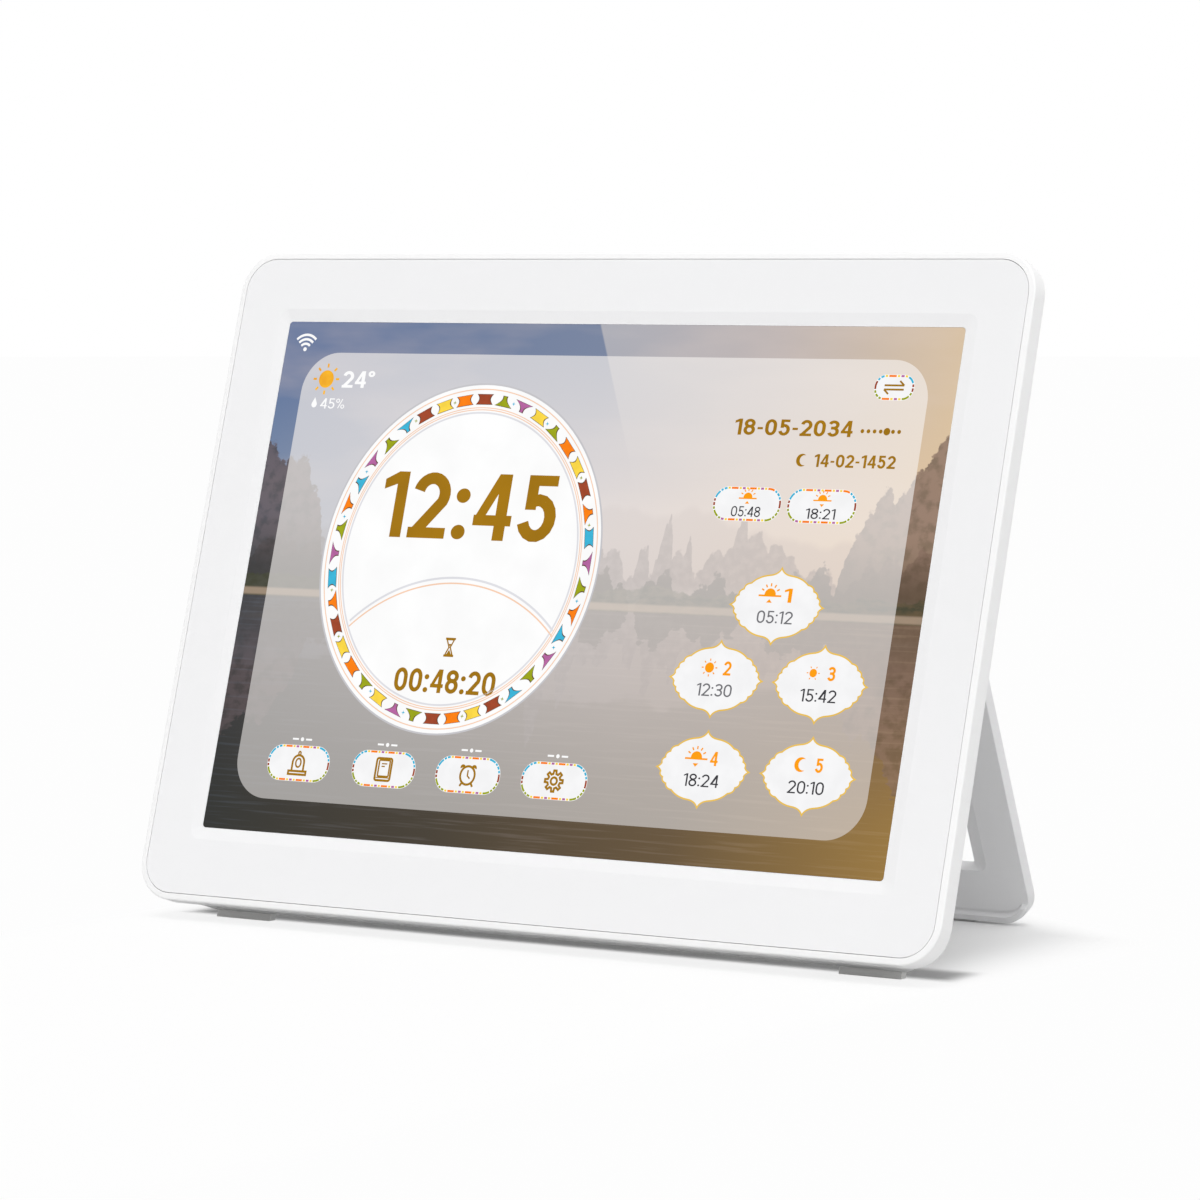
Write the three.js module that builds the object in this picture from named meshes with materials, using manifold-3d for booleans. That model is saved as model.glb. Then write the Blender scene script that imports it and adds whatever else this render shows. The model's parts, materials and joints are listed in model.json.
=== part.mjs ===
// Prayer-time table clock: a white tablet case that leans back on a fold-out rear stand.
// Millimetres, +Z up. The screen looks towards -Y, and +X is the viewer's right.
// Case pieces are drawn with x to the right, y as the depth behind the face and z up the face.
// Stand pieces are drawn round the hinge axis, with y towards the back and z up the plate.
import * as THREE from "three";
import { mergeVertices } from "three/addons/utils/BufferGeometryUtils.js";
import Module from "manifold-3d";

const wasm = await Module();
wasm.setup();

// Angles
const caseLean = 16.5;
const standTilt = 23.4;

// Clearances and cuts
const gap = 0.3;
const overrun = 1;

// Screen
const displayWidth = 213.6;
const displayHeight = 142.4;
const displayRadius = 1;
const lensFront = 0.6;
const lensThickness = 1.5;

// Front plate
const sideBorder = 16.8;
const topBorder = 17.9;
const footBorder = 18.8;
const plateThickness = 2.1;
const plateEdge = 0.25;
const slopeWidth = 2.4;
const slopeDrop = 0.5;
const slopeRadius = 3;
const lipWidth = 0.8;
const ribThickness = 1.4;
const ribDepth = 3.2;

// Outer frame
const rimFlat = 0.25;
const rimWidth = 1.55;
const rimDrop = 0.7;
const frameDepth = 5.7;
const frameWall = 2;
const frameEdge = 0.3;
const cornerRadius = 11;
const ledgeWidth = 5.4;
const ledgeThickness = 1.4;
const bossRadius = 2.4;

// Screen module behind the front plate
const panelMargin = 2.8;
const panelThickness = 1.8;
const trayThickness = 0.5;
const trayDepth = 3.5;
const trayLap = 0.6;
const guideThickness = 1.2;
const guideMargin = 0.4;
const embossWidth = 60;
const embossHeight = 8;
const embossDrop = 0.2;

// Rear cover
const caseDepth = 18;
const coverInset = 1;
const flangeThickness = 1.6;
const flangeEdge = 0.6;
const humpSide = 12.4;
const humpTop = 10.3;
const humpRadius = 10;
const humpFootRadius = 5;
const humpRound = 4;
const humpFootRound = 1;
const coverWall = 2;
const pocketWall = 1.8;

// Stand
const standThickness = 4;
const standCorner = 8.4;
const standEdge = 0.5;
const hingeDrop = 21.4;
const barrelRadius = 2.6;
const heelLength = 4.5;
const sideClearance = 0.5;
const floorClearance = 0.6;
const windowSide = 11;
const windowBevel = 5.6;
const windowSill = 15.4;
const windowSillBevel = 0.4;
const windowHeight = 66;
const windowCorner = 5;
const lipHeight = 3;
const lipBevel = 1;
const lipRise = 1.6;
const lipReach = 6.2;

// Hinges
const hingeInset = 18;
const pinRadius = 1;
const pinLength = 29.5;
const earThickness = 2;
const earRadius = 2.3;
const washerRadius = 2.2;
const washerThickness = 0.8;
const bracketWidth = 26;
const bracketThickness = 0.8;
const bracketScrewPlace = 10;
const bracketTop = 5.9;

// Feet
const footHeight = 0.6;
const footWidth = 18;
const footDepth = 2.4;
const footSeat = 0.6;
const footBack = 0.9;
const standFootInset = 18;
const standFootDepth = 2.2;
const standFootSeat = 0.9;

// Screws
const screwRadius = 1;
const headRadius = 1.7;
const headHeight = 1;
const slotRadius = 0.8;
const slotDepth = 0.5;

// Main board
const boardLeft = 110.4;
const boardRight = 8;
const boardBottom = 16;
const boardTop = 80;
const boardThickness = 1.2;
const boardFront = 9;
const boardRadius = 2;
const boardHoleInset = 6;
const standoffRadius = 2.6;
const chipHeight = 1.2;
const chipSize = 12;
const connectorWidth = 22;
const connectorHeight = 5;
const shieldWidth = 34;
const shieldHeight = 28;
const shieldDepth = 1.5;
const shieldPlaceX = 62;
const shieldPlaceZ = 56;
const chipPlaceX = 28;
const chipPlaceZ = 40;
const powerChipPlaceZ = 26;
const powerChipHeight = 6;
const boardHolePlace = 80.4;

// Battery, speakers and aerial
const batteryWidth = 92;
const batteryThickness = 4;
const batteryDrop = 9;
const batteryRise = 10;
const batteryRadius = 3;
const speakerWidth = 18;
const speakerHeight = 44;
const speakerDepth = 5.8;
const speakerMargin = 1.35;
const speakerDrop = 30.4;
const speakerRadius = 4;
const coneDepth = 2.4;
const coneRim = 2;
const clothThickness = 0.4;
const grillePitch = 3;
const grilleSlot = 1.4;
const grilleLength = 13;
const grilleCount = 13;
const aerialWidth = 40;
const aerialHeight = 6;
const aerialThickness = 0.8;
const aerialPlace = 75;

// Socket
const socketWidth = 8.9;
const socketDepth = 3.2;
const socketLength = 7.2;
const socketShell = 0.35;
const socketFloor = 1.5;
const socketPlace = 48;
const tongueWidth = 6.6;
const tongueThickness = 0.7;
const tongueInset = 0.7;

// Buttons
const buttonPlace = 60;
const buttonPitch = 16;
const buttonLength = 10;
const buttonWidth = 4;
const buttonDepth = 10.8;
const buttonStand = 0.9;
const buttonFlange = 1;
const flangeHeight = 1.1;
const buttonTravel = 0.5;
const stemRadius = 1.3;
const stemLength = 1.7;
const switchSize = 4.6;
const switchHeight = 1.8;
const plungerHeight = 0.8;
const plungerRadius = 0.9;
const buttonBoardLength = 48;
const buttonBoardWidth = 7;
const buttonBoardThickness = 1;
const restWidth = 3;

// Vents
const ventWidth = 1.6;
const ventHeight = 5;
const ventPitch = 4;
const ventCount = 12;
const ventPlace = 44;

// Leads
const ribbonWidth = 20;
const ribbonThickness = 0.25;
const ribbonPlace = 30;
const ribbonDrop = 15;
const leadRadius = 0.5;
const plugInset = 1.5;
const leftPlugPlace = 98;
const rightPlugPlace = 50;
const plugPitch = 8;
const leadBend = 2.5;
const leadLane = 5;
const batteryLeadInset = 2;

// Shares
const slotRoundShare = 0.49;
const packEdgeShare = 0.25;

// Facets
const outlineSegments = 10;
const smallSegments = 4;
const slotSegments = 2;
const roundSegments = 4;
const turnedSegments = 20;
const rodSegments = 12;
const leadSteps = 15;

// Sizes that follow
const lean = THREE.MathUtils.degToRad(caseLean);
const tilt = THREE.MathUtils.degToRad(standTilt);
const halfDisplay = displayWidth / 2;
const grooveX = halfDisplay + sideBorder;
const frameX = grooveX + rimFlat + rimWidth;
const rim = rimFlat + rimWidth;
const frameTop = displayHeight + topBorder + footBorder + rim * 2;
const centreZ = rim + footBorder + displayHeight / 2;
const coverFront = frameDepth + gap;
const humpX = frameX - humpSide;
const humpTopZ = frameTop - humpTop;
const coverFoot = gap;
const innerX = humpX - coverWall;
const innerTop = humpTopZ - coverWall;
const innerBack = caseDepth - coverWall;
const speakerBottom = innerTop - speakerDrop - speakerHeight;
const axisDepth = caseDepth - barrelRadius;
const pocketX = innerX - pocketWall - speakerWidth - speakerMargin * 2;
const standX = pocketX - sideClearance;
const hingePlace = standX - hingeInset;
const hingeHeight = humpTopZ - hingeDrop;
const pocketDepth = caseDepth - standThickness - floorClearance;
const heelSwing = heelLength * Math.sin(lean + tilt)
  + (standThickness - barrelRadius) * Math.cos(lean + tilt);
const troughDepth = axisDepth - heelSwing - gap;
const troughFoot = hingeHeight - barrelRadius - floorClearance - pinRadius;
const troughTop = hingeHeight + bracketTop + floorClearance;
const batteryBottom = boardTop + batteryRise;
const batteryTop = troughFoot - pocketWall - batteryDrop;
const screwHole = screwRadius + gap;
const pocketInner = pocketDepth - pocketWall;
const troughInner = troughDepth - pocketWall;

// The case's lower back edge is the turning point of its lean, footHeight above the table.
const axisY = -barrelRadius * Math.cos(lean) + hingeHeight * Math.sin(lean);
const axisZ = barrelRadius * Math.sin(lean) + hingeHeight * Math.cos(lean) + footHeight;

// Materials
const whitePlastic = 0xf2f2f0;
const standPlastic = 0xededeb;
const finish = (color, roughness, metalness = 0) => ({ color, roughness, metalness });
const finishes = {
  front: finish(whitePlastic, 0.45),
  rim: finish(0xfafafa, 0.35),
  cover: finish(0xeeeeec, 0.55),
  stand: finish(standPlastic, 0.5),
  glass: finish(0x30343c, 0.08),
  panel: finish(0x1a1c20, 0.3),
  steel: finish(0xb4b6b8, 0.35, 1),
  guide: finish(0xe8f0f4, 0.2),
  board: finish(0x1f6a45, 0.5),
  blackPlastic: finish(0x1c1c1e, 0.55),
  foil: finish(0xc0c4c8, 0.4, 0.6),
  rubber: finish(0xb8b8b6, 0.9),
  ribbon: finish(0xb8862c, 0.4),
  cloth: finish(0x2a2a2c, 0.95),
  screw: finish(0x8c8e92, 0.35, 1),
  lead: finish(0xb02020, 0.6),
};

// Solids

function solidOf(geometry) {
  const bare = geometry.index ? geometry.toNonIndexed() : geometry.clone();
  bare.deleteAttribute("normal");
  bare.deleteAttribute("uv");
  const merged = mergeVertices(bare);
  return new wasm.Manifold(new wasm.Mesh({
    numProp: 3,
    vertProperties: merged.attributes.position.array,
    triVerts: new Uint32Array(merged.index.array),
  }));
}

function geometryOf(solid) {
  const mesh = solid.getMesh();
  const positions = new Float32Array(mesh.numVert * 3);
  for (let i = 0; i < mesh.numVert; i++) {
    positions.set(mesh.vertProperties.subarray(i * mesh.numProp, i * mesh.numProp + 3), i * 3);
  }
  const geometry = new THREE.BufferGeometry()
    .setAttribute("position", new THREE.BufferAttribute(positions, 3))
    .setIndex(new THREE.BufferAttribute(new Uint32Array(mesh.triVerts), 1));
  geometry.computeVertexNormals();
  return geometry;
}

const join = (...solids) => solids.reduce((all, next) => all.add(next));
const cut = (solid, ...tools) => tools.reduce((left, tool) => left.subtract(tool), solid);

function piece(group, name, solid, look) {
  const mesh = new THREE.Mesh(geometryOf(solid), new THREE.MeshStandardMaterial(finishes[look]));
  mesh.name = name;
  group.add(mesh);
  return mesh;
}

// A box between two corners.
function block(x0, x1, y0, y1, z0, z1) {
  const box = new THREE.BoxGeometry(x1 - x0, y1 - y0, z1 - z0);
  box.translate((x0 + x1) / 2, (y0 + y1) / 2, (z0 + z1) / 2);
  return solidOf(box);
}

// Points round a rectangle in x and z with round corners: r is the lower and upper radius.
function outline(x0, x1, z0, z1, r, segments) {
  const [low, high] = Array.isArray(r) ? r : [r, r];
  const corners = [
    [x1 - low, z0 + low, low],
    [x1 - high, z1 - high, high],
    [x0 + high, z1 - high, high],
    [x0 + low, z0 + low, low],
  ];
  return corners.flatMap(([x, z, radius], quarter) => {
    const points = [];
    for (let i = 0; i <= segments; i++) {
      const angle = (quarter - 1 + i / segments) * Math.PI / 2;
      points.push([x + radius * Math.cos(angle), z + radius * Math.sin(angle)]);
    }
    return points;
  });
}

// A solid through outlines of equal count, each at its own depth, from front to back.
function loft(rings) {
  const count = rings[0].points.length;
  const positions = rings.flatMap(({ y, points }) => points.flatMap(([x, z]) => [x, y, z]));
  const faces = [];
  for (let ring = 0; ring + 1 < rings.length; ring++) {
    for (let i = 0; i < count; i++) {
      const next = (i + 1) % count;
      const a = ring * count + i;
      const b = ring * count + next;
      faces.push(a, a + count, b, b, a + count, b + count);
    }
  }
  const last = (rings.length - 1) * count;
  for (let i = 1; i + 1 < count; i++) {
    faces.push(0, i, i + 1, last, last + i + 1, last + i);
  }
  const geometry = new THREE.BufferGeometry()
    .setAttribute("position", new THREE.Float32BufferAttribute(positions, 3))
    .setIndex(faces);
  return solidOf(geometry);
}

// A slab between two depths with one round-cornered outline.
function slab(x0, x1, z0, z1, r, y0, y1, segments = smallSegments) {
  const points = outline(x0, x1, z0, z1, r, segments);
  return loft([{ y: y0, points }, { y: y1, points }]);
}

// A rod between two depths.
function rod(x, z, radius, y0, y1) {
  const geometry = new THREE.CylinderGeometry(radius, radius, y1 - y0, rodSegments);
  geometry.translate(x, (y0 + y1) / 2, z);
  return solidOf(geometry);
}

// A rod along x.
function axle(y, z, radius, x0, x1, segments = turnedSegments) {
  const geometry = new THREE.CylinderGeometry(radius, radius, x1 - x0, segments);
  geometry.rotateZ(Math.PI / 2);
  geometry.translate((x0 + x1) / 2, y, z);
  return solidOf(geometry);
}

// A rod along z.
function post(x, y, radius, z0, z1) {
  const geometry = new THREE.CylinderGeometry(radius, radius, z1 - z0, rodSegments);
  geometry.rotateX(Math.PI / 2);
  geometry.translate(x, y, (z0 + z1) / 2);
  return solidOf(geometry);
}

// The outline of a rounded rectangle about the screen's centre, grown from the screen's edge.
function aboutScreen(growX, growZ, r, segments) {
  const x = halfDisplay + growX;
  const z = displayHeight / 2 + growZ;
  return outline(-x, x, centreZ - z, centreZ + z, r, segments);
}

function screenSlab(growX, growZ, r, y0, y1, segments = smallSegments) {
  const points = aboutScreen(growX, growZ, r, segments);
  return loft([{ y: y0, points }, { y: y1, points }]);
}

// The outline of the case, drawn in by an inset.
function caseOutline(inset) {
  return outline(-frameX + inset, frameX - inset, inset, frameTop - inset,
    cornerRadius - inset, outlineSegments);
}

// A screw with a round cross recess, its head towards the front or the back.
function screw(x, z, headDepth, length, towards) {
  const head = [headDepth, headDepth + towards * headHeight].sort((a, b) => a - b);
  const tip = headDepth - towards * length;
  const shank = [tip, headDepth + towards * headHeight / 2].sort((a, b) => a - b);
  const top = headDepth + towards * headHeight;
  const recess = [top - towards * slotDepth, top + towards * overrun].sort((a, b) => a - b);
  return cut(join(rod(x, z, headRadius, ...head), rod(x, z, screwRadius, ...shank)),
    rod(x, z, slotRadius, ...recess));
}

// Front

const frameScrewX = frameX - frameWall - bossRadius - gap;
const frameScrews = [-1, 1].flatMap((side) => [0, 1, 2].map((row) => {
  const low = cornerRadius + bossRadius;
  return { x: side * frameScrewX, z: low + row * (frameTop - low * 2) / 2 };
}));

function outerFrame() {
  const body = loft([
    { y: 0, points: caseOutline(rimWidth) },
    { y: rimDrop, points: caseOutline(0) },
    { y: frameDepth - frameEdge, points: caseOutline(0) },
    { y: frameDepth, points: caseOutline(frameEdge) },
  ]);
  const ledgeFront = plateThickness + gap;
  const ledgeBack = ledgeFront + ledgeThickness;
  const opening = (inset, y0, y1) => {
    const points = caseOutline(inset);
    return loft([{ y: y0, points }, { y: y1, points }]);
  };
  const ring = cut(body,
    opening(rim, -overrun, ledgeFront),
    opening(frameWall + ledgeWidth, -overrun, frameDepth + overrun),
    opening(frameWall, ledgeBack, frameDepth + overrun));
  const bosses = frameScrews.map(({ x, z }) => rod(x, z, bossRadius, ledgeBack - frameEdge, frameDepth));
  const holes = frameScrews.map(({ x, z }) => rod(x, z, screwHole, 0, frameDepth + overrun));
  return cut(join(ring, ...bosses), ...holes);
}

function frontPlate() {
  const inset = rim + gap;
  const body = loft([
    { y: 0, points: caseOutline(inset + plateEdge) },
    { y: plateEdge, points: caseOutline(inset) },
    { y: plateThickness, points: caseOutline(inset) },
  ]);
  const slope = slopeWidth / slopeDrop;
  const slopeOutline = (y) => aboutScreen(gap + lipWidth + slope * (slopeDrop - y),
    gap + lipWidth + slope * (slopeDrop - y), slopeRadius, outlineSegments);
  const bevel = loft([
    { y: -plateEdge, points: slopeOutline(-plateEdge) },
    { y: slopeDrop, points: slopeOutline(slopeDrop) },
  ]);
  const window = screenSlab(gap, gap, displayRadius + gap, -overrun, plateThickness + overrun);
  const grow = panelMargin + trayLap + gap + trayThickness;
  const ribs = cut(
    screenSlab(grow + ribThickness, grow + ribThickness, displayRadius,
      plateThickness - plateEdge, plateThickness + ribDepth),
    screenSlab(grow, grow, displayRadius, 0, plateThickness + ribDepth + overrun));
  return cut(join(body, ribs), bevel, window);
}

function lens() {
  return screenSlab(0, 0, displayRadius, lensFront, lensFront + lensThickness);
}

// Screen module

const panelFront = lensFront + lensThickness + gap;
const panelBack = panelFront + panelThickness;
const trayFront = panelFront + gap;
const trayBack = trayFront + trayDepth;

function lcdPanel() {
  return screenSlab(panelMargin, panelMargin, displayRadius, panelFront, panelBack);
}

function lightGuide() {
  return screenSlab(panelMargin - guideMargin, panelMargin - guideMargin, displayRadius,
    panelBack + gap, panelBack + gap + guideThickness);
}

function backlightTray() {
  const grow = panelMargin + gap;
  const shell = screenSlab(grow + trayThickness, grow + trayThickness, displayRadius, trayFront, trayBack);
  const hollow = screenSlab(grow, grow, displayRadius, 0, trayBack - trayThickness);
  const embosses = [-1, 0, 1].map((row) => {
    const z = centreZ + row * displayHeight / 3;
    return slab(-embossWidth / 2, embossWidth / 2, z - embossHeight / 2, z + embossHeight / 2,
      displayRadius, trayBack - embossDrop, trayBack + overrun);
  });
  return cut(shell, hollow, ...embosses);
}

// A flat strip along points in y and z, as wide as the ribbon.
function displayRibbon() {
  const top = trayBack + gap;
  const foot = boardFront - gap - ribbonThickness;
  const low = boardTop - ribbonDrop - ribbonWidth / 2;
  const centre = [
    [top, boardTop],
    [top, boardTop - connectorHeight],
    [foot, low + connectorHeight],
    [foot, low],
  ];
  const shape = new THREE.Shape();
  centre.forEach(([y, z], i) => (i ? shape.lineTo(y, z) : shape.moveTo(y, z)));
  [...centre].reverse().forEach(([y, z]) => shape.lineTo(y + ribbonThickness, z));
  shape.closePath();
  const geometry = new THREE.ExtrudeGeometry(shape, { depth: ribbonWidth, bevelEnabled: false });
  geometry.applyMatrix4(new THREE.Matrix4().makeBasis(
    new THREE.Vector3(0, 1, 0), new THREE.Vector3(0, 0, 1), new THREE.Vector3(1, 0, 0)));
  geometry.translate(-ribbonPlace - ribbonWidth / 2, 0, 0);
  return solidOf(geometry);
}

// Rear cover

function humpBody() {
  const ring = (y, inset, footInset) => ({
    y,
    points: outline(-humpX + inset, humpX - inset, coverFoot + footInset, humpTopZ - inset,
      [humpFootRadius, humpRadius], outlineSegments),
  });
  const rings = [ring(coverFront, 0, 0), ring(caseDepth - humpRound, 0, 0)];
  for (let i = 1; i <= roundSegments; i++) {
    const angle = i / roundSegments * Math.PI / 2;
    const drop = 1 - Math.cos(angle);
    rings.push(ring(caseDepth - humpRound * (1 - Math.sin(angle)), humpRound * drop, humpFootRound * drop));
  }
  return loft(rings);
}

function flangeBody() {
  const ring = (y, inset) => ({
    y,
    points: outline(-frameX + coverInset + inset, frameX - coverInset - inset,
      coverFoot + inset, frameTop - coverInset - inset, cornerRadius - coverInset - inset, outlineSegments),
  });
  return loft([
    ring(coverFront, 0),
    ring(coverFront + flangeThickness - flangeEdge, 0),
    ring(coverFront + flangeThickness, flangeEdge),
  ]);
}

const standPocket = (grow) => join(
  block(-pocketX - grow, pocketX + grow, pocketDepth - grow, caseDepth + overrun,
    -overrun, hingeHeight),
  block(-pocketX - grow, pocketX + grow, troughDepth - grow, caseDepth + overrun,
    troughFoot - grow, troughTop + grow));

const speakerX = (innerX + pocketX + pocketWall) / 2;
const speakerZ = speakerBottom + speakerHeight / 2;

function grille(side) {
  return Array.from({ length: grilleCount }, (_, i) => {
    const z = speakerZ + (i - (grilleCount - 1) / 2) * grillePitch;
    return slab(side * speakerX - grilleLength / 2, side * speakerX + grilleLength / 2,
      z - grilleSlot / 2, z + grilleSlot / 2, grilleSlot * slotRoundShare,
      innerBack - overrun, caseDepth + overrun, slotSegments);
  });
}

function vents() {
  const low = troughTop + pocketWall + gap;
  return Array.from({ length: ventCount }, (_, i) => {
    const x = -ventPlace + (i - (ventCount - 1) / 2) * ventPitch;
    return slab(x - ventWidth / 2, x + ventWidth / 2, low, low + ventHeight,
      ventWidth * slotRoundShare, innerBack - overrun, caseDepth + overrun, slotSegments);
  });
}

const buttonXs = [0, 1, 2].map((i) => buttonPlace + i * buttonPitch);

function buttonHoles() {
  return buttonXs.map((x) => block(x - buttonLength / 2 - gap, x + buttonLength / 2 + gap,
    buttonDepth - buttonWidth / 2 - gap, buttonDepth + buttonWidth / 2 + gap,
    innerTop - overrun, humpTopZ + overrun));
}

const boardHoles = [-boardHolePlace, -boardRight - boardHoleInset].flatMap((x) =>
  [boardBottom + boardHoleInset, boardTop - boardHoleInset].map((z) => ({ x, z })));

const bracketScrews = [-1, 1].flatMap((side) => [-1, 1].map((end) => ({
  x: side * hingePlace + end * bracketScrewPlace,
  z: hingeHeight + bracketTop - headRadius,
})));

const footX = (humpX - humpRound + pocketX) / 2;
const footFront = caseDepth - footBack - footDepth;

function footBlock(side, grow, z0) {
  return block(side * footX - footWidth / 2 - grow, side * footX + footWidth / 2 + grow,
    footFront - grow, footFront + footDepth + grow, z0, coverFoot + footSeat + grow);
}

const buttonBoardZ = innerTop - flangeHeight - gap - stemLength - buttonTravel - plungerHeight
  - switchHeight - buttonBoardThickness;
const buttonBoardX = buttonPlace + buttonPitch;

function rearCover() {
  const shell = join(flangeBody(), humpBody());
  const cavity = cut(
    slab(-innerX, innerX, coverFoot + coverWall, innerTop, humpFootRadius,
      coverFront - overrun, innerBack, smallSegments),
    standPocket(pocketWall));
  const standoffs = boardHoles.map(({ x, z }) =>
    rod(x, z, standoffRadius, boardFront + boardThickness + gap, pocketInner + overrun / 2));
  const boltBosses = bracketScrews.map(({ x, z }) =>
    rod(x, z, standoffRadius, troughInner - flangeThickness, troughInner + overrun / 2));
  const rests = [-1, 1].map((end) => {
    const x = buttonBoardX + end * (buttonBoardLength / 2 - restWidth);
    return block(x - restWidth / 2, x + restWidth / 2, buttonDepth - buttonWidth / 2,
      innerBack + overrun / 2, troughTop + pocketWall / 2, buttonBoardZ - gap);
  });
  const body = join(cut(shell, cavity), ...standoffs, ...boltBosses, ...rests);
  const screwHoles = [
    ...frameScrews.map(({ x, z }) => rod(x, z, screwHole, coverFront - overrun, caseDepth)),
    ...boardHoles.map(({ x, z }) => rod(x, z, screwHole, boardFront, pocketDepth - pocketWall / 2)),
    ...bracketScrews.map(({ x, z }) =>
      rod(x, z, screwHole, troughInner - flangeThickness / 2, caseDepth + overrun)),
  ];
  const socketY = boardFront + boardThickness + gap + socketDepth / 2;
  const socketHole = block(-humpX - overrun, -innerX + overrun,
    socketY - socketDepth / 2 - gap, socketY + socketDepth / 2 + gap,
    socketPlace - socketWidth / 2 - gap, socketPlace + socketWidth / 2 + gap);
  return cut(body, standPocket(0), ...screwHoles, ...grille(-1), ...grille(1), ...vents(),
    ...buttonHoles(), socketHole, footBlock(-1, gap, -overrun), footBlock(1, gap, -overrun));
}

// Electronics

const plugTop = boardTop - plugInset;
const plugFront = boardFront - chipHeight;
const leadDepth = boardFront - gap - leadRadius;
const plugXs = { speakerLeft: -leftPlugPlace, battery: -rightPlugPlace - plugPitch * 2,
  speakerRight: -rightPlugPlace - plugPitch, buttons: -rightPlugPlace };

function mainBoard() {
  const back = boardFront + boardThickness;
  const plate = slab(-boardLeft, -boardRight, boardBottom, boardTop, boardRadius, boardFront, back);
  const holes = boardHoles.map(({ x, z }) => rod(x, z, screwHole, boardFront - overrun, back + overrun));
  const chips = [
    [chipPlaceX, chipPlaceZ, chipSize, chipSize],
    [chipPlaceX, powerChipPlaceZ, chipSize, powerChipHeight],
    [shieldPlaceX, boardBottom + connectorHeight, connectorWidth, connectorHeight],
    ...Object.values(plugXs).map((x) => [-x, plugTop - connectorHeight / 2, connectorHeight, connectorHeight]),
  ];
  const parts = chips.map(([x, z, width, height]) =>
    block(-x - width / 2, -x + width / 2, boardFront - chipHeight, boardFront + boardThickness / 2,
      z - height / 2, z + height / 2));
  return cut(join(plate, ...parts), ...holes);
}

function processorShield() {
  const back = boardFront - gap;
  return slab(-shieldPlaceX - shieldWidth / 2, -shieldPlaceX + shieldWidth / 2,
    shieldPlaceZ - shieldHeight / 2, shieldPlaceZ + shieldHeight / 2, displayRadius,
    back - shieldDepth, back);
}

function batteryPack() {
  const back = pocketInner - gap;
  const front = back - batteryThickness;
  const edge = batteryThickness * packEdgeShare;
  const ring = (y, inset) => ({
    y,
    points: outline(-batteryWidth / 2 + inset, batteryWidth / 2 - inset, batteryBottom + inset,
      batteryTop - inset, batteryRadius, smallSegments),
  });
  return loft([ring(front, edge), ring(front + edge, 0), ring(back - edge, 0), ring(back, edge)]);
}

const clothBack = innerBack - gap;
const speakerBack = clothBack - clothThickness - gap;

function speaker(side) {
  const x = side * speakerX;
  const shape = (inset, y) => ({
    y,
    points: outline(x - speakerWidth / 2 + inset, x + speakerWidth / 2 - inset,
      speakerZ - speakerHeight / 2 + inset, speakerZ + speakerHeight / 2 - inset,
      speakerRadius, smallSegments),
  });
  const basket = loft([
    shape(coneRim, speakerBack - speakerDepth),
    shape(coneRim / 2, speakerBack - coneDepth),
    shape(0, speakerBack - coneDepth / 2),
    shape(0, speakerBack),
  ]);
  const cone = loft([
    { y: speakerBack - coneDepth, points: outline(x - speakerWidth / 4, x + speakerWidth / 4,
      speakerZ - speakerHeight / 4, speakerZ + speakerHeight / 4, speakerRadius, smallSegments) },
    { y: speakerBack + overrun, points: outline(x - speakerWidth / 2 + coneRim, x + speakerWidth / 2 - coneRim,
      speakerZ - speakerHeight / 2 + coneRim, speakerZ + speakerHeight / 2 - coneRim,
      speakerRadius, smallSegments) },
  ]);
  return cut(basket, cone);
}

function speakerCloth(side) {
  const x = side * speakerX;
  return slab(x - speakerWidth / 2, x + speakerWidth / 2, speakerZ - speakerHeight / 2,
    speakerZ + speakerHeight / 2, displayRadius, clothBack - clothThickness, clothBack);
}

function aerial() {
  return slab(-aerialPlace - aerialWidth / 2, -aerialPlace + aerialWidth / 2,
    innerTop - gap - aerialHeight, innerTop - gap, displayRadius,
    coverFront + flangeThickness, coverFront + flangeThickness + aerialThickness);
}

function usbSocket() {
  const y0 = boardFront + boardThickness + gap;
  const x0 = -innerX - coverWall / 2;
  const z0 = socketPlace - socketWidth / 2;
  const turn = (solid) => solid.rotate([0, 0, 90]);
  const shape = (inset, from, to) => turn(slab(y0 + inset, y0 + socketDepth - inset, z0 + inset,
    z0 + socketWidth - inset, (socketDepth - inset * 2) * slotRoundShare, from, to));
  const shell = shape(0, -x0 - socketLength, -x0);
  const mouth = shape(socketShell, -x0 - socketLength + socketFloor, -x0 + overrun);
  const facing = cut(shell, mouth);
  const tongueY = y0 + socketDepth / 2;
  const tongue = turn(block(tongueY - tongueThickness / 2, tongueY + tongueThickness / 2,
    -x0 - socketLength + socketFloor / 2, -x0 - tongueInset,
    socketPlace - tongueWidth / 2, socketPlace + tongueWidth / 2));
  return join(facing, tongue);
}

// Buttons

function buttonBoard() {
  const y0 = buttonDepth - buttonBoardWidth / 2;
  const top = buttonBoardZ + buttonBoardThickness;
  const plate = block(buttonBoardX - buttonBoardLength / 2, buttonBoardX + buttonBoardLength / 2,
    y0, y0 + buttonBoardWidth, buttonBoardZ, top);
  const switches = buttonXs.flatMap((x) => [
    block(x - switchSize / 2, x + switchSize / 2, buttonDepth - switchSize / 2,
      buttonDepth + switchSize / 2, top - buttonBoardThickness / 2, top + switchHeight),
    post(x, buttonDepth, plungerRadius, top, top + switchHeight + plungerHeight),
  ]);
  return join(plate, ...switches);
}

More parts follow.
